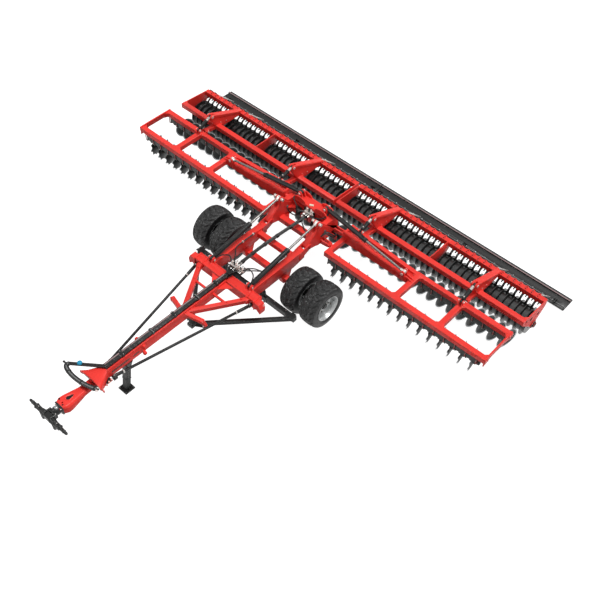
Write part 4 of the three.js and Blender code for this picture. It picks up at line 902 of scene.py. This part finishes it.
def drawbar_details():
    build = Build()
    # flat plates on the drawbar's side, coloured as painted shade where the side has recesses
    for outline in ([(-4.97, 0.865), (-4.94, 0.91), (-4.55, 0.915), (-4.5, 0.875), (-4.56, 0.862)],
                    [(-4.45, 0.865), (-4.43, 0.905), (-4.3, 0.905), (-4.28, 0.865)]):
        build.put(prism("x", outline, 0.0795, 0.0825), RECESS_SHADE)
    saddle = [(-0.155, -4.15, 0.9), (-0.12, -4.155, 0.97), (-0.082, -4.16, 1.0), (-0.08, -4.17, 1.016),
              (0.08, -4.195, 1.016), (0.084, -4.2, 0.95), (0.125, -4.215, 0.9), (0.167, -4.237, 0.855)]
    build.put(strap(saddle, 0.05, 0.012, (0.12, 0.99, 0)), RED)
    for spot in ((-0.155, -4.15, 0.905), (0.1, -4.19, 0.955), (0.167, -4.237, 0.857)):
        build.put(lathe([(-0.03, 0.03), (-0.022, 0.04), (0.022, 0.04), (0.03, 0.03), (0.03, 0.016),
                         (0.036, 0.015), (0.036, 0)], 18, aimed(spot, (0.1, -0.99, 0.1))), RED)
    # pieces in the hood's mouth and at its right foot; the arch in the shaded red and the two dark blocks
    # inside the mouth are painted shade
    build.put(sweep([(0.285 * math.cos(a), -5.352, 0.955 + 0.085 * math.sin(a))
                     for a in [math.radians(t) for t in range(-8, 190, 11)]],
                    [(-0.006, -0.02), (0.006, -0.02), (0.006, 0.02), (-0.006, 0.02)], (0, 1, 0)), RED_SHADED)
    build.put(box((-0.2, -0.06), (-5.34, -5.29), (0.935, 0.985)), SHADE)
    build.put(box((0.03, 0.17), (-5.35, -5.28), (0.93, 0.975)), BLACK)
    build.put(rod((-0.2, -5.33, 0.96), (0.22, -5.33, 0.945), 0.02, 12), STEEL)
    build.put(box((-0.02, 0.02), (-5.37, -5.28), (0.93, 1.0)), RED)
    ring = [Vector((0.268 + 0.032 * math.cos(a), -5.3, 0.85 + 0.032 * math.sin(a)))
            for a in [math.tau * k / 20 for k in range(22)]]
    build.put(tube(ring, 0.011, 8), PIN)
    build.put(box((0.1, 0.2), (-5.2, -5.03), (0.826, 0.842)), BLACK)
    for x, y, mat in ((0.19, -5.17, ZINC), (0.17, -5.1, CREAM), (0.15, -5.04, ZINC)):
        build.put(lathe([(0, 0.014), (0.02, 0.018), (0.04, 0.018), (0.05, 0.01), (0.05, 0)], 12,
                        aimed((x, y, 0.85), (0.8, -0.2, 0.1))), mat)
    # small plates and pins on the braces and the crossbeam
    for side in (-1, 1):
        for y in (-2.4, -2.15):
            x = side * (0.09 + (y + 3.06) * 0.56)
            build.put(bolt((x, y, 0.978), (0, 0, 1), 0.014), RED)
        build.put(prism("z", [(side * 0.08, -2.06), (side * 0.3, -2.06), (side * 0.08, -2.3)],
                        0.955, 0.97), RED)
        build.put(lathe([(0, 0.03), (0.012, 0.03), (0.014, 0.02), (0.024, 0.019), (0.024, 0)], 16,
                        aimed((side * 0.98, -1.93, 0.9), (side, 0, 0.3))), PIN)
        build.put(box((side * 0.82, side * 0.835), (-2.06, -1.84), (0.75, 0.99)), RED)
        build.put(box((side * 0.62, side * 0.64), (-2.06, -1.84), (0.97, 0.99)), RED)
    build.put(box((-0.86, 0.86), (-2.04, -2.02), (0.972, 0.986)), RED)
    build.put(box((-0.86, 0.86), (-1.866, -1.846), (0.972, 0.986)), RED)
    build.make("drawbar_fittings", "chassis", (), "red_paint", 0.003, RED_EDGE_WEAR_HIGHLIGHT)


# ---------------------------------------------------------------- stays, jack and guard
def stays():
    build = Build()
    for side in (-1, 1):
        a, b = Vector((side * 0.145, -4.945, 0.83)), Vector((side * 0.764, -2.0953, 0.856))
        m, far = aimed(a, b - a), (b - a).length
        build.put(lathe([(0.03, 0.0), (0.03, 0.034), (0.16, 0.034), (0.17, 0.0282), (far - 0.3, 0.0282),
                         (far - 0.29, 0.034), (far - 0.04, 0.034), (far - 0.03, 0.0)], 16, m), BLACK)
        for d in (0.17, far - 0.32):
            nut = [(d, 0.028), (d, 0.04), (d + 0.03, 0.04), (d + 0.03, 0.028)]
            build.put(lathe(nut, 6, m, loop=True), ZINC)
        for spot in (a, b):
            build.put(lathe([(-0.03, 0), (-0.03, 0.03), (0.03, 0.03), (0.03, 0)], 14,
                            aimed(spot, (0, 0, 1), (1, 0, 0))), BLACK)
            build.put(nut_end(spot + Vector((0, 0, 0.03)), (0, 0, 1), 0.016), ZINC)
        build.put(box((side * 0.11, side * 0.175), (-4.985, -4.9), (0.74, 0.79)), BLACK)
    build.make("stay_ends", "chassis", (), "black_paint", 0.002, BLACK_EDGE_WEAR_HIGHLIGHT)


def jack():
    build = Build()
    top, foot = Vector((0, -4.56, 0.7)), Vector((0, -4.667, 0.04))
    m = aimed(top, foot - top, (0, -1, 0))
    far = (foot - top).length
    build.put(moved(box((0.0, far * 0.62), (-0.058, 0.058), (-0.058, 0.058)), m), BLACK)
    build.put(moved(box((far * 0.58, far - 0.01), (-0.0555, 0.0555), (-0.0555, 0.0555)), m), BAND)
    build.put(moved(box((far * 0.57, far * 0.6), (-0.063, 0.063), (-0.063, 0.063)), m), BLACK)
    for i in range(5):
        build.put(bolt(m @ Vector((0.1 + i * 0.06, 0.058, 0)), m.to_3x3() @ Vector((0, 1, 0)), 0.008), ZINC)
    build.put(rod((-0.075, -4.56, 0.7), (0.075, -4.56, 0.7), 0.028, 16), ZINC)
    build.put(prism("z", [(0.1, -4.78), (0.113, -4.767), (0.113, -4.567), (0.1, -4.554), (-0.1, -4.554),
                          (-0.113, -4.567), (-0.113, -4.767), (-0.1, -4.78)], 0.0005, 0.03), SHADE)
    for x in (-0.088, 0.088):
        for y in (-4.755, -4.58):
            build.put(bolt((x, y, 0.03), (0, 0, 1), 0.011), STEEL)
    for sign in (-1, 1):
        build.put(prism("y", [(sign * 0.055, 0.03), (sign * 0.105, 0.03), (sign * 0.055, 0.13)],
                        -4.672, -4.662), BLACK)
    build.put(rod(m @ Vector((0.02, 0.05, 0.04)), m @ Vector((0.02, 0.13, 0.06)), 0.01, 10), STEEL)
    build.put(rod(m @ Vector((0.02, 0.13, 0.06)), m @ Vector((-0.05, 0.14, 0.09)), 0.012, 10), BLACK)
    build.make("jack_details", "jack", (), "dark_grey_paint", 0.003, BLACK_EDGE_WEAR_HIGHLIGHT)


def guard():
    build = Build()
    z = 0.434
    for side in (-1, 1):
        for place, length in (((side * 1.3, -1.47), 0.2), ((side * 0.06, -2.86), 0.22)):
            x, y = place
            dx = -side if x * side > 0.5 else side
            points = [(x, y), (x + dx * length, y), (x + dx * length * 0.2, y - length * 0.5)]
            build.put(prism("z", points, z - 0.004, z + 0.008), BLACK)
        build.put(prism("z", [(side * 1.382, -1.54), (side * 1.36, -1.38), (side * 1.25, -1.38),
                              (side * 1.25, -1.54)], z, z + 0.012), BLACK)
        for x in (0.42, 0.8, 1.12):
            build.put(nut_end((side * x, -1.43, z), (0, 0, 1), 0.013), ZINC)
        build.put(prism("y", [(side * 0.5, z), (side * 0.62, z), (side * 0.58, 0.62), (side * 0.52, 0.62)],
                        -1.47, -1.455), BLACK)
    build.put(prism("x", [(-2.98, z), (-2.82, z), (-2.86, 0.6), (-2.94, 0.6)], -0.012, 0.012), BLACK)
    hook = smooth_path([(0.5, -1.5, 0.46), (0.56, -1.6, 0.5), (0.66, -1.64, 0.5), (0.7, -1.56, 0.47),
                        (0.64, -1.52, 0.46)], 4)
    build.put(tube(hook, 0.014, 10), BLACK)
    build.put(box((-0.9, -0.885), (-1.86, -1.72), (0.86, 1.06)), BLACK)
    build.put(box((-0.96, -0.885), (-1.8, -1.76), (0.86, 0.9)), BLACK)
    build.make("guard_details", "chassis", (), "black_paint", 0.003, BLACK_EDGE_WEAR_HIGHLIGHT)


# ---------------------------------------------------------------- valves and hoses in the middle
def manifold(build, at, scale=1.0):
    """Valve block with solenoids and angled fittings."""
    x, y, z = at
    k = scale
    build.put(box((x - 0.07 * k, x + 0.07 * k), (y - 0.045 * k, y + 0.045 * k),
                  (z - 0.035 * k, z + 0.035 * k)), ZINC)
    for dx in (-0.045, 0.0, 0.045):
        build.put(lathe([(0, 0.016 * k), (0.05 * k, 0.018 * k), (0.055 * k, 0.01 * k), (0.07 * k, 0.01 * k),
                         (0.07 * k, 0)], 12, aimed((x + dx * k, y, z + 0.033 * k), (0, 0, 1), (1, 0, 0))),
                  PIN if dx else BLACK)
        for sign in (-1, 1):
            a = Vector((x + dx * k, y + sign * 0.043 * k, z))
            bend = [a, a + Vector((0, sign * 0.03, 0)) * k, a + Vector((0.01, sign * 0.052, 0.012)) * k,
                    a + Vector((0.02, sign * 0.06, 0.035)) * k]
            build.put(tube(smooth_path(bend, 3), 0.0095 * k, 8), ZINC)
    for sign in (-1, 1):
        build.put(nut_end((x + sign * 0.07 * k, y, z), (sign, 0, 0), 0.016 * k), PIN)


def middle_hoses():
    build = Build()
    manifold(build, (-0.03, -1.7, 1.09), 1.15)
    manifold(build, (0.1, -1.66, 1.02), 0.9)
    build.put(box((-0.14, 0.17), (-1.85, -1.6), (0.975, 0.987)), BLACK)
    for k, start in enumerate((-0.1, -0.05, 0.0, 0.06, 0.12)):
        path = [(start, -1.76, 1.1), (start - 0.02, -1.8, 1.14 - 0.01 * k), (start * 0.6, -1.87, 1.1),
                (start * 0.3, -1.93, 1.07)]
        build.put(hose(path, 4, 0.0115, 8), HOSE if k % 2 else BLACK)
    loops = [
        [(0.14, -1.66, 1.05), (0.26, -1.58, 1.1), (0.4, -1.62, 1.08), (0.47, -1.72, 1.06),
         (0.5, -1.8, 1.03)],
        [(-0.14, -1.68, 1.08), (-0.27, -1.6, 1.12), (-0.4, -1.64, 1.08), (-0.47, -1.74, 1.06),
         (-0.5, -1.8, 1.03)],
        [(0.16, -1.62, 1.02), (0.28, -1.48, 1.0), (0.44, -1.3, 0.985), (0.452, -1.0, 0.985),
         (0.452, -0.7, 0.985)],
        [(-0.12, -1.62, 1.04), (-0.3, -1.42, 1.0), (-0.44, -1.25, 0.985), (-0.452, -1.0, 0.985),
         (-0.452, -0.7, 0.985)],
        [(0.12, -1.6, 1.04), (0.24, -1.42, 0.98), (0.4, -1.3, 0.92), (0.446, -1.1, 0.9),
         (0.449, -0.8, 0.9)],
    ]
    for path in loops:
        build.put(hose(path, 6, 0.0125, 8), HOSE)
    for side in (-1, 1):
        for y in (-1.05, -0.75):
            build.put(box((side * 0.438, side * 0.475), (y - 0.015, y + 0.015), (0.963, 1.002)), ZINC)
    build.make("crossbeam_valves", "chassis", (), "black_paint")

    bundle = Build()
    knots = [(0.0, -1.62, 1.07), (-0.02, -1.4, 1.06), (-0.035, -1.05, 1.05), (-0.03, -0.7, 1.045),
             (-0.01, -0.35, 1.05), (0.02, 0.0, 1.06), (0.035, 0.22, 1.075), (0.045, 0.36, 1.09)]
    path = smooth_path(knots, 5)
    for u, v in circle(5, 0.024):
        bundle.put(tube([p + Vector((u, 0, v)) for p in path], 0.0145, 8), HOSE)
    for i in range(3, len(path) - 2, 5):
        along = (path[i + 1] - path[i - 1]).normalized()
        bundle.put(lathe([(-0.025, 0.03), (-0.025, 0.043), (0.025, 0.043), (0.025, 0.03)], 16,
                         aimed(path[i], along), loop=True), BLACK)
    obj = bundle.make("centre_hose_bundle", None, (), "black_paint")
    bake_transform(obj)


# ---------------------------------------------------------------- tilt frame
TILT_YZ = (-0.2, 0.945)


def tilt_details():
    plates, fittings = Build(), Build()
    for side in (-1, 1):
        for face in (-1, 1):
            x = side * LIFT_X + face * 0.0575
            # cheek plate of the arm, with a rounded head and a rim round the pivot; the rim is in the
            # shaded red, as painted shade
            cheek = [*arc(*TILT_YZ, 0.072, 110, 250, 10), (0.1, 0.79), (0.44, 0.775), (0.44, 1.08),
                     (0.3, 1.18), (0.16, 1.3), (0.03, 1.24)]
            outside = x + face * 0.011
            plates.put(prism("x", cheek, x, outside), RED)
            fittings.put(lathe([(0, 0.052), (0.016, 0.052), (0.02, 0.036), (0.034, 0.036), (0.038, 0.026),
                                (0.038, 0)], 20, aimed((outside, *TILT_YZ), (face, 0, 0))), RED_SHADED)
            fittings.put(boss((outside, 0.283, 1.054), (face, 0, 0), 0.03, 0.012, 0.018, 0.015), GREY)
            fittings.put(boss((outside, *LIFT_EYE_YZ), (face, 0, 0), 0.036, 0.014, 0.028, 0.018), PIN)
            for y, z in ((0.36, 0.83), (0.36, 1.02), (0.2, 0.86)):
                fittings.put(bolt((outside, y, z), (face, 0, 0), 0.014), RED)
        # rounded stiffener between arm and beam, and the fold cylinder's foot
        curve = [math.radians(t) for t in range(170, -1, -17)]
        hump = [(0.1 * side, 1.19), *[(side * (0.3 + 0.17 * math.cos(a)), 1.2 + 0.1 * math.sin(a))
                                      for a in curve], (0.5 * side, 1.19)]
        plates.put(prism("y", hump, 0.475, 0.5), RED)
        plates.put(prism("y", hump, 0.69, 0.715), RED)
        for y, out in ((0.525, -1), (0.675, 1)):
            fittings.put(boss((side * 0.35, y, 1.314), (0, out, 0), 0.034, 0.012, 0.022, 0.016), PIN)
        for outline, z in ((((0.47, 0.47), (0.47, 0.27), (0.27, 0.47)), 1.0),
                           (((0.47, 0.18), (0.47, 0.36), (0.3, 0.18)), 0.82)):
            plates.put(prism("z", [(side * u, v) for u, v in outline], z, z + 0.02), RED)
        # the plate here and the panel below are in the shaded red: painted shade
        plates.put(box((side * 0.5875, side * 0.78), (0.45, 0.47), (0.78, 0.9)), RED_SHADED)
        panel = [(side * 0.4, 0.9), (side * 0.12, 0.9), (side * 0.16, 1.06), (side * 0.38, 1.1)]
        plates.put(prism("y", panel, 0.455, 0.4705), RED_SHADED)
        fittings.put(box((side * 0.2, side * 0.33), (0.4, 0.4705), (0.93, 1.05)), BLACK)
        fittings.put(lathe([(0, 0.05), (0.02, 0.055), (0.1, 0.055), (0.12, 0.03), (0.12, 0)], 18,
                           aimed((side * 0.2, 0.33, 0.93), (0.2 * side, 0.4, 0.9))), BLACK)
    plates.put(box((-0.46, 0.46), (0.475, 0.715), (1.195, 1.207)), RED)
    # thin sheets in the shaded red on the beam's front faces: painted shade
    plates.put(box((-0.46, 0.46), (0.46, 0.4705), (1.12, 1.17)), RED_SHADED)
    plates.put(box((-0.3, 0.3), (0.035, 0.0405), (0.79, 0.88)), RED_SHADED)
    fittings.put(moved(box((-0.045, 0.045), (-0.022, 0.022), (0, 0.02)),
                       Matrix.Translation((0.0, 0.53, 1.207)) @ Matrix.Rotation(0.5, 4, "Z")), CREAM)
    manifold(fittings, (0.05, 0.4, 1.12), 1.25)
    manifold(fittings, (-0.02, 0.37, 1.03), 0.9)
    fittings.put(box((-0.12, 0.16), (0.43, 0.4705), (0.98, 1.16)), BLACK)
    routes = [
        [(0.12, 0.38, 1.11), (0.2, 0.3, 1.15), (0.3, 0.34, 1.16), (0.42, 0.42, 1.2), (0.44, 0.56, 1.24),
         (0.42, 0.6, 1.27)],
        [(-0.05, 0.38, 1.11), (-0.16, 0.3, 1.14), (-0.28, 0.36, 1.17), (-0.42, 0.44, 1.22),
         (-0.44, 0.56, 1.25), (-0.42, 0.6, 1.27)],
        [(0.06, 0.33, 1.02), (0.16, 0.24, 1.0), (0.32, 0.25, 0.99), (0.44, 0.3, 0.99), (0.466, 0.36, 1.0)],
        [(-0.08, 0.33, 1.02), (-0.18, 0.25, 1.0), (-0.3, 0.24, 0.98), (-0.44, 0.28, 0.98),
         (-0.466, 0.34, 1.0)],
        [(0.0, 0.33, 1.0), (0.02, 0.22, 0.97), (0.12, 0.16, 0.93), (0.2, 0.12, 0.915), (0.3, 0.12, 0.912)],
    ]
    for path in routes:
        fittings.put(hose(path, 6, 0.0135, 8), HOSE)
    for side in (-1, 1):
        over = [(side * 0.6, 0.2, 1.0), (side * 0.64, 0.3, 1.03), (side * 0.72, 0.36, 0.98),
                (side * 0.76, 0.42, 0.93), (side * 0.74, 0.5, 0.9)]
        fittings.put(hose(over, 6, 0.016, 8), HOSE)
        fittings.put(hose([(x, y - 0.045, z - 0.01) for x, y, z in over], 6, 0.014, 8), HOSE)
    plates.make("tilt_plates", "tilt_frame", (), "red_paint", 0.003, RED_EDGE_WEAR_HIGHLIGHT)
    fittings.make("tilt_fittings", "tilt_frame", (), "black_paint")


def lift_pins():
    """Plated fork on each lift rod's eye, and the pin ends on the tilt frame beside it."""
    for flip, side in sides():
        build = Build()
        eye = LIFT_B
        along = (LIFT_A - eye).normalized()
        build.put(moved(box((0.0, 0.07), (-0.028, 0.028), (-0.026, 0.026)), aimed(eye, along)), ZINC)
        ends = (eye + Vector((reach, 0, 0.018)) for reach in (-EYE_HALF, EYE_HALF))
        build.put(rod(*ends, 0.02, 14), PIN)
        build.make(f"lift_eye_{side}", f"lift_rod_{side}", (), "chrome_rod", 0.002, ZINC, flip)
        bar = Build()
        for turn in (-1, 1):
            inner, outer = ((LIFT_X + turn * reach, *LIFT_EYE_YZ) for reach in (0.06, 0.115))
            bar.put(rod(inner, outer, 0.026, 16), PIN)
            bar.put(lathe([(0, 0.034), (0.01, 0.034), (0.01, 0.0)], 18, aimed(outer, (turn, 0, 0))), ZINC)
        bar.make(f"tilt_pin_{side}", "tilt_frame", (), "chrome_rod", 0.002, ZINC, flip)


# ---------------------------------------------------------------- wings, roller frames and board
def corner(build, x, y, dx, dy, size, z):
    build.put(prism("z", [(x, y), (x + dx * size, y), (x, y + dy * size)], *z), RED)


FRONT_BEAM_REAR = 0.0995
MIDDLE_BEAM_FRONT = 0.7905
WING_CORNER_Z = (0.775, 0.848)


def wing_details():
    for flip, side in sides():
        build = Build()
        z = WING_CORNER_Z
        for x in (3.727, 2.65):
            for sign in (-1, 1):
                corner(build, x + sign * 0.0595, FRONT_BEAM_REAR, sign, 1, 0.055, z)
                # the middle beam is slimmer inside the outer cross member
                slim = 0 if (x > 3 and sign > 0) else 0.01
                corner(build, x + sign * 0.0595, MIDDLE_BEAM_FRONT + slim, sign, -1, 0.055, z)
        corner(build, 4.8355, FRONT_BEAM_REAR, -1, 1, 0.07, z)
        corner(build, 4.8355, MIDDLE_BEAM_FRONT, -1, -1, 0.07, z)
        corner(build, 0.9495, FRONT_BEAM_REAR, 1, 1, 0.05, z)
        # end plate rim, pads and bolts on the beams
        rim = [(-0.02, 0.862), (0.3, 0.865), (0.6, 0.865), (0.91, 0.862)]
        build.put(strap([(4.8475, y, zz) for y, zz in rim], 0.034, 0.016, (1, 0, 0)), RED)
        for y in (0.04, 0.85):
            build.put(box((4.8605, 4.872), (y - 0.06, y + 0.06), (0.75, 0.845)), RED)
            for dy in (-0.04, 0.04):
                for zz in (0.77, 0.825):
                    build.put(bolt((4.872, y + dy, zz), (1, 0, 0), 0.013), ZINC)
        for x in (1.02, 2.0, 2.9, 3.45, 4.1, 4.6):
            build.put(box((x - 0.05, x + 0.05), (-0.026, -0.0195), (0.78, 0.84)), RED)
            for dx in (-0.03, 0.03):
                build.put(bolt((x + dx, -0.026, 0.81), (0, -1, 0), 0.011), RED)
        # pads at the fold boom's foot and stiffeners on the boom
        foot = [(2.5, 0.856), (2.7, 0.856), (2.6, 0.9), (2.52, 0.92)]
        build.put(prism("y", foot, 0.56, 0.585), RED)
        build.put(prism("y", foot, 0.625, 0.65), RED)
        for y, out in ((0.522, -1), (0.678, 1)):
            build.put(boss((FOLD_B.x, y, FOLD_B.z), (0, out, 0), 0.032, 0.012, 0.02, 0.016), PIN)
        for x in (1.25, 1.75, 2.2):
            zz = 1.0 - (x - 0.85) * 0.0806
            build.put(box((x - 0.03, x + 0.03), (0.556, 0.654), (zz - 0.06, zz + 0.008)), RED)
        # small oil hoses clipped along the boom
        for k in (0, 1):
            y = 0.675 + 0.024 * k
            path = [(0.91, y, 0.96), (1.2, y, 0.95), (1.6, y, 0.92), (2.0, y, 0.885), (2.34, y, 0.87)]
            build.put(hose(path, 4, 0.01, 8), HOSE)
        # depth cylinder lug bosses and link bosses
        for x, front, _ in DEPTH.values():
            for sign in (-1, 1):
                for gap, spot in ((0.0425, front), (0.0685, LINK_YZ)):
                    lug = boss((x + sign * gap, *spot), (sign, 0, 0), 0.03, 0.01, 0.018, 0.014, 16)
                    build.put(lug, PIN)
        build.make(f"wing_plates_{side}", f"wing_{side}", (), "red_paint", 0.003, RED_EDGE_WEAR_HIGHLIGHT, flip)


ROLLER_BEAM_REAR = 1.3995
ROLLER_CORNER_Z = (0.73, 0.81)
BOARD_ARMS = (0.12, 2.5, 4.81)
BOARD_TOP = 0.09


def roller_details():
    for flip, side in sides():
        build = Build()
        # outer bearing, with holes in the end plate and the plate between the two rollers
        build.put(lathe([(0, 0.1), (0.012, 0.1), (0.016, 0.07), (0.05, 0.062), (0.058, 0.05), (0.058, 0)],
                        24, aimed((ROLLER_END, ROLL_Y, ROLL_Z), (1, 0, 0))), BLACK)
        for u, v in circle(4, 0.083, 0.5):
            build.put(nut_end((ROLLER_END + 0.012, ROLL_Y + u, ROLL_Z + v), (1, 0, 0), 0.011), ZINC)
        for y, zz, size in ((1.62, 0.62, 0.045), (1.9, 0.56, 0.035), (1.42, 0.72, 0.03)):
            build.put(lathe([(0, size), (0.002, size), (0.002, 0)], 20,
                            aimed((ROLLER_END + 0.0005, y, zz), (1, 0, 0))), SHADE)
        build.put(box((ROLLER_SPLIT - 0.011, ROLLER_SPLIT + 0.011), (1.4, 2.06), (0.765, 0.8)), RED)
        # towers: side ribs, bright pin heads and the rod's fork
        for x, _, (y, zz) in DEPTH.values():
            for sign in (-1, 1):
                face = x + sign * 0.06
                rib = [(y - 0.03, zz + 0.02), (y + 0.03, zz + 0.036), (2.08, 0.8), (2.1, 0.785),
                       (2.08, 0.768), (y, zz - 0.02)]
                build.put(prism("x", rib, face, face + sign * 0.01), RED)
                build.put(boss((face + sign * 0.01, y, zz), (sign, 0, 0), 0.034, 0.012, 0.02, 0.016), PIN)
                for yy, z2 in ((1.42, 0.85), (1.6, 0.8)):
                    build.put(bolt((face, yy, z2), (sign, 0, 0), 0.013), PIN)
            for sign in (1, -1):
                corner(build, x + sign * 0.0605, ROLLER_BEAM_REAR, sign, 1, 0.06, ROLLER_CORNER_Z)
        corner(build, 4.8505, ROLLER_BEAM_REAR, -1, 1, 0.07, ROLLER_CORNER_Z)
        # board suspension: thin plated rods and their nuts
        hangers = Build()
        for x in (4.66, 3.6, 1.25):
            a, b = Vector((x, 2.21, 0.71)), Vector((x + 0.03, 2.83, 0.12))
            hangers.put(rod(a, b, 0.012, 10), ZINC)
            build.put(box((x - 0.03, x + 0.03), (2.1705, 2.225), (0.69, 0.74)), BLACK)
            hangers.put(nut_end(a, (0, 0, 1), 0.014), ZINC)
        for x in BOARD_ARMS:
            for z in (0.672, 0.718):
                for dx in (0.028, -0.028):
                    build.put(bolt((x + dx, 2.2205, z), (0, 1, 0), 0.011), ZINC)
        build.make(f"roller_fittings_{side}", f"wing_{side}", (), "red_paint", 0.003, RED_EDGE_WEAR_HIGHLIGHT, flip)
        hangers.make(f"board_rods_{side}", f"wing_{side}", (), "chrome_rod", 0.0, None, flip)

        # the light grey and grey-pink lines along the board are painted highlights
        board = Build()
        for y, z, mat in (((3.052, 3.078), (BOARD_TOP, 0.0965), HIGHLIGHT_GREY),
                          ((3.011, 3.031), (0.125, 0.1285), HIGHLIGHT_STRIPE),
                          ((2.8, 2.815), (BOARD_TOP, 0.102), HIGHLIGHT_GREY)):
            board.put(box((0.012, 5.066), y, z), mat)
        for i in range(21):
            board.put(bolt((0.1 + i * 0.245, 2.83, BOARD_TOP), (0, 0, 1), 0.013), STEEL)
        gusset = [(2.77, BOARD_TOP), (2.9, BOARD_TOP), (2.82, 0.17)]
        for x in BOARD_ARMS:
            board.put(prism("x", gusset, x - 0.03, x - 0.018), BLACK)
            board.put(prism("x", gusset, x + 0.018, x + 0.03), BLACK)
        board.make(f"board_edges_{side}", f"wing_{side}", (), "black_paint", 0.0, None, flip)


# ---------------------------------------------------------------- camera, light and floor
LENS_MM = 52.9506
CAMERA_AT = Vector((8.6445, -9.6922 + Y0, 14.0536))
CAMERA_FORWARD = Vector((-0.42166496, 0.48608485, -0.76545423))
CAMERA_UP = Vector((-0.52939574, 0.55338572, 0.64304308))
AIR_LIGHT = 0.38
KEY_POWER, KEY_SPREAD, KEY_TURN = 2.28, 24, (-14, 12)
SHEEN_POWER, SHEEN_SPREAD, SHEEN_FROM = 0.9, 9, (-0.42, -0.6, 0.685)
FLOOR_HALF, FLOOR_Z, FLOOR_TONE, FLOOR_GLOW = 60, -0.002, 0.36, 0.95


def shown_ray(tree):
    """1 for rays that show the backdrop: from the camera, and mirrored or refracted ones."""
    path = tree.nodes.new("ShaderNodeLightPath")
    total = path.outputs["Is Camera Ray"]
    for name in ("Is Glossy Ray", "Is Transmission Ray"):
        add = tree.nodes.new("ShaderNodeMath")
        add.operation = "MAXIMUM"
        tree.links.new(total, add.inputs[0])
        tree.links.new(path.outputs[name], add.inputs[1])
        total = add.outputs[0]
    return total


def sun(name, power, spread, turn):
    light = bpy.data.lights.new(name, "SUN")
    light.energy = power
    light.angle = math.radians(spread)
    lamp = bpy.data.objects.new(name, light)
    lamp.rotation_euler = turn
    bpy.context.scene.collection.objects.link(lamp)
    return lamp


def add_camera(scene):
    camera = bpy.data.cameras.new("camera")
    camera.sensor_width = 36
    camera.lens = LENS_MM
    camera.clip_end = 300
    seen = bpy.data.objects.new("camera", camera)
    scene.collection.objects.link(seen)
    right = CAMERA_FORWARD.cross(CAMERA_UP)
    turn = Matrix((right, CAMERA_UP, -CAMERA_FORWARD)).transposed().to_4x4()
    seen.matrix_world = Matrix.Translation(CAMERA_AT) @ turn
    scene.camera = seen


def add_world(scene):
    """White to the eye, and a weaker even light on the machine."""
    world = bpy.data.worlds.new("studio")
    scene.world = world
    world.use_nodes = True
    tree = world.node_tree
    light = tree.nodes["Background"]
    white = tree.nodes.new("ShaderNodeBackground")
    for node, strength in ((light, AIR_LIGHT), (white, 1.0)):
        node.inputs["Color"].default_value = (1, 1, 1, 1)
        node.inputs["Strength"].default_value = strength
    both = tree.nodes.new("ShaderNodeMixShader")
    tree.links.new(shown_ray(tree), both.inputs[0])
    tree.links.new(light.outputs[0], both.inputs[1])
    tree.links.new(white.outputs[0], both.inputs[2])
    tree.links.new(both.outputs[0], tree.nodes["World Output"].inputs["Surface"])


def add_floor(scene):
    """Floor that glows white to the eye but still takes a faint shadow."""
    mesh = bpy.data.meshes.new("floor")
    h, z = FLOOR_HALF, FLOOR_Z
    mesh.from_pydata([(-h, -h, z), (h, -h, z), (h, h, z), (-h, h, z)], [], [(0, 1, 2, 3)])
    floor = bpy.data.objects.new("floor", mesh)
    scene.collection.objects.link(floor)
    mat = bpy.data.materials.new("floor")
    mat.use_nodes = True
    tree = mat.node_tree
    shader = tree.nodes["Principled BSDF"]
    shader.inputs["Base Color"].default_value = (FLOOR_TONE, FLOOR_TONE, FLOOR_TONE, 1)
    shader.inputs["Roughness"].default_value = 1
    shader.inputs["Specular IOR Level"].default_value = 0
    share = tree.nodes.new("ShaderNodeMath")
    share.operation = "MULTIPLY"
    share.inputs[1].default_value = FLOOR_GLOW
    tree.links.new(shown_ray(tree), share.inputs[0])
    paper, none = (tree.nodes.new("ShaderNodeEmission") for _ in range(2))
    paper.inputs["Strength"].default_value = 1.0
    none.inputs["Strength"].default_value = 0.0
    fade = tree.nodes.new("ShaderNodeMixShader")
    tree.links.new(share.outputs[0], fade.inputs[0])
    tree.links.new(none.outputs[0], fade.inputs[1])
    tree.links.new(paper.outputs[0], fade.inputs[2])
    both = tree.nodes.new("ShaderNodeAddShader")
    tree.links.new(shader.outputs[0], both.inputs[0])
    tree.links.new(fade.outputs[0], both.inputs[1])
    tree.links.new(both.outputs[0], tree.nodes["Material Output"].inputs["Surface"])
    mesh.materials.append(mat)


def stage():
    scene = bpy.context.scene
    scene.view_settings.view_transform = "Standard"
    add_camera(scene)
    add_world(scene)
    sun("key", KEY_POWER, KEY_SPREAD, (*(math.radians(t) for t in KEY_TURN), 0))
    sheen = sun("sheen", SHEEN_POWER, SHEEN_SPREAD, Vector(SHEEN_FROM).to_track_quat("Z", "Y").to_euler())
    sheen.visible_diffuse = False
    add_floor(scene)


# ---------------------------------------------------------------- everything
stage()
disc_row("front", "front_disc_row", 4.56, 15, -0.02, 0.226, 13, 10)
disc_row("rear", "rear_disc_row", 4.65, 16, 0.79, 1.13, -16, 0)
centre_row()
rollers()
scrapers()
wheels()
cylinders()
depth_cylinders()
hitch()
drawbar_hoses()
drawbar_details()
stays()
jack()
guard()
middle_hoses()
tilt_details()
lift_pins()
wing_details()
roller_details()

for node in ("drawbar", "drawbar_neck", "main_frame", "axle_beam", "tilt_frame", "wing_frame_left",
             "wing_frame_right", "roller_frame_left", "roller_frame_right"):
    dress(node, RED, RED_EDGE_WEAR_HIGHLIGHT)
for node in ("guard_frame", "stay_rods", "hitch_yoke", "hitch_cross_shaft", "level_board_left",
             "level_board_right", "jack_bracket", "jack_leg"):
    dress(node, BLACK, BLACK_EDGE_WEAR_HIGHLIGHT)
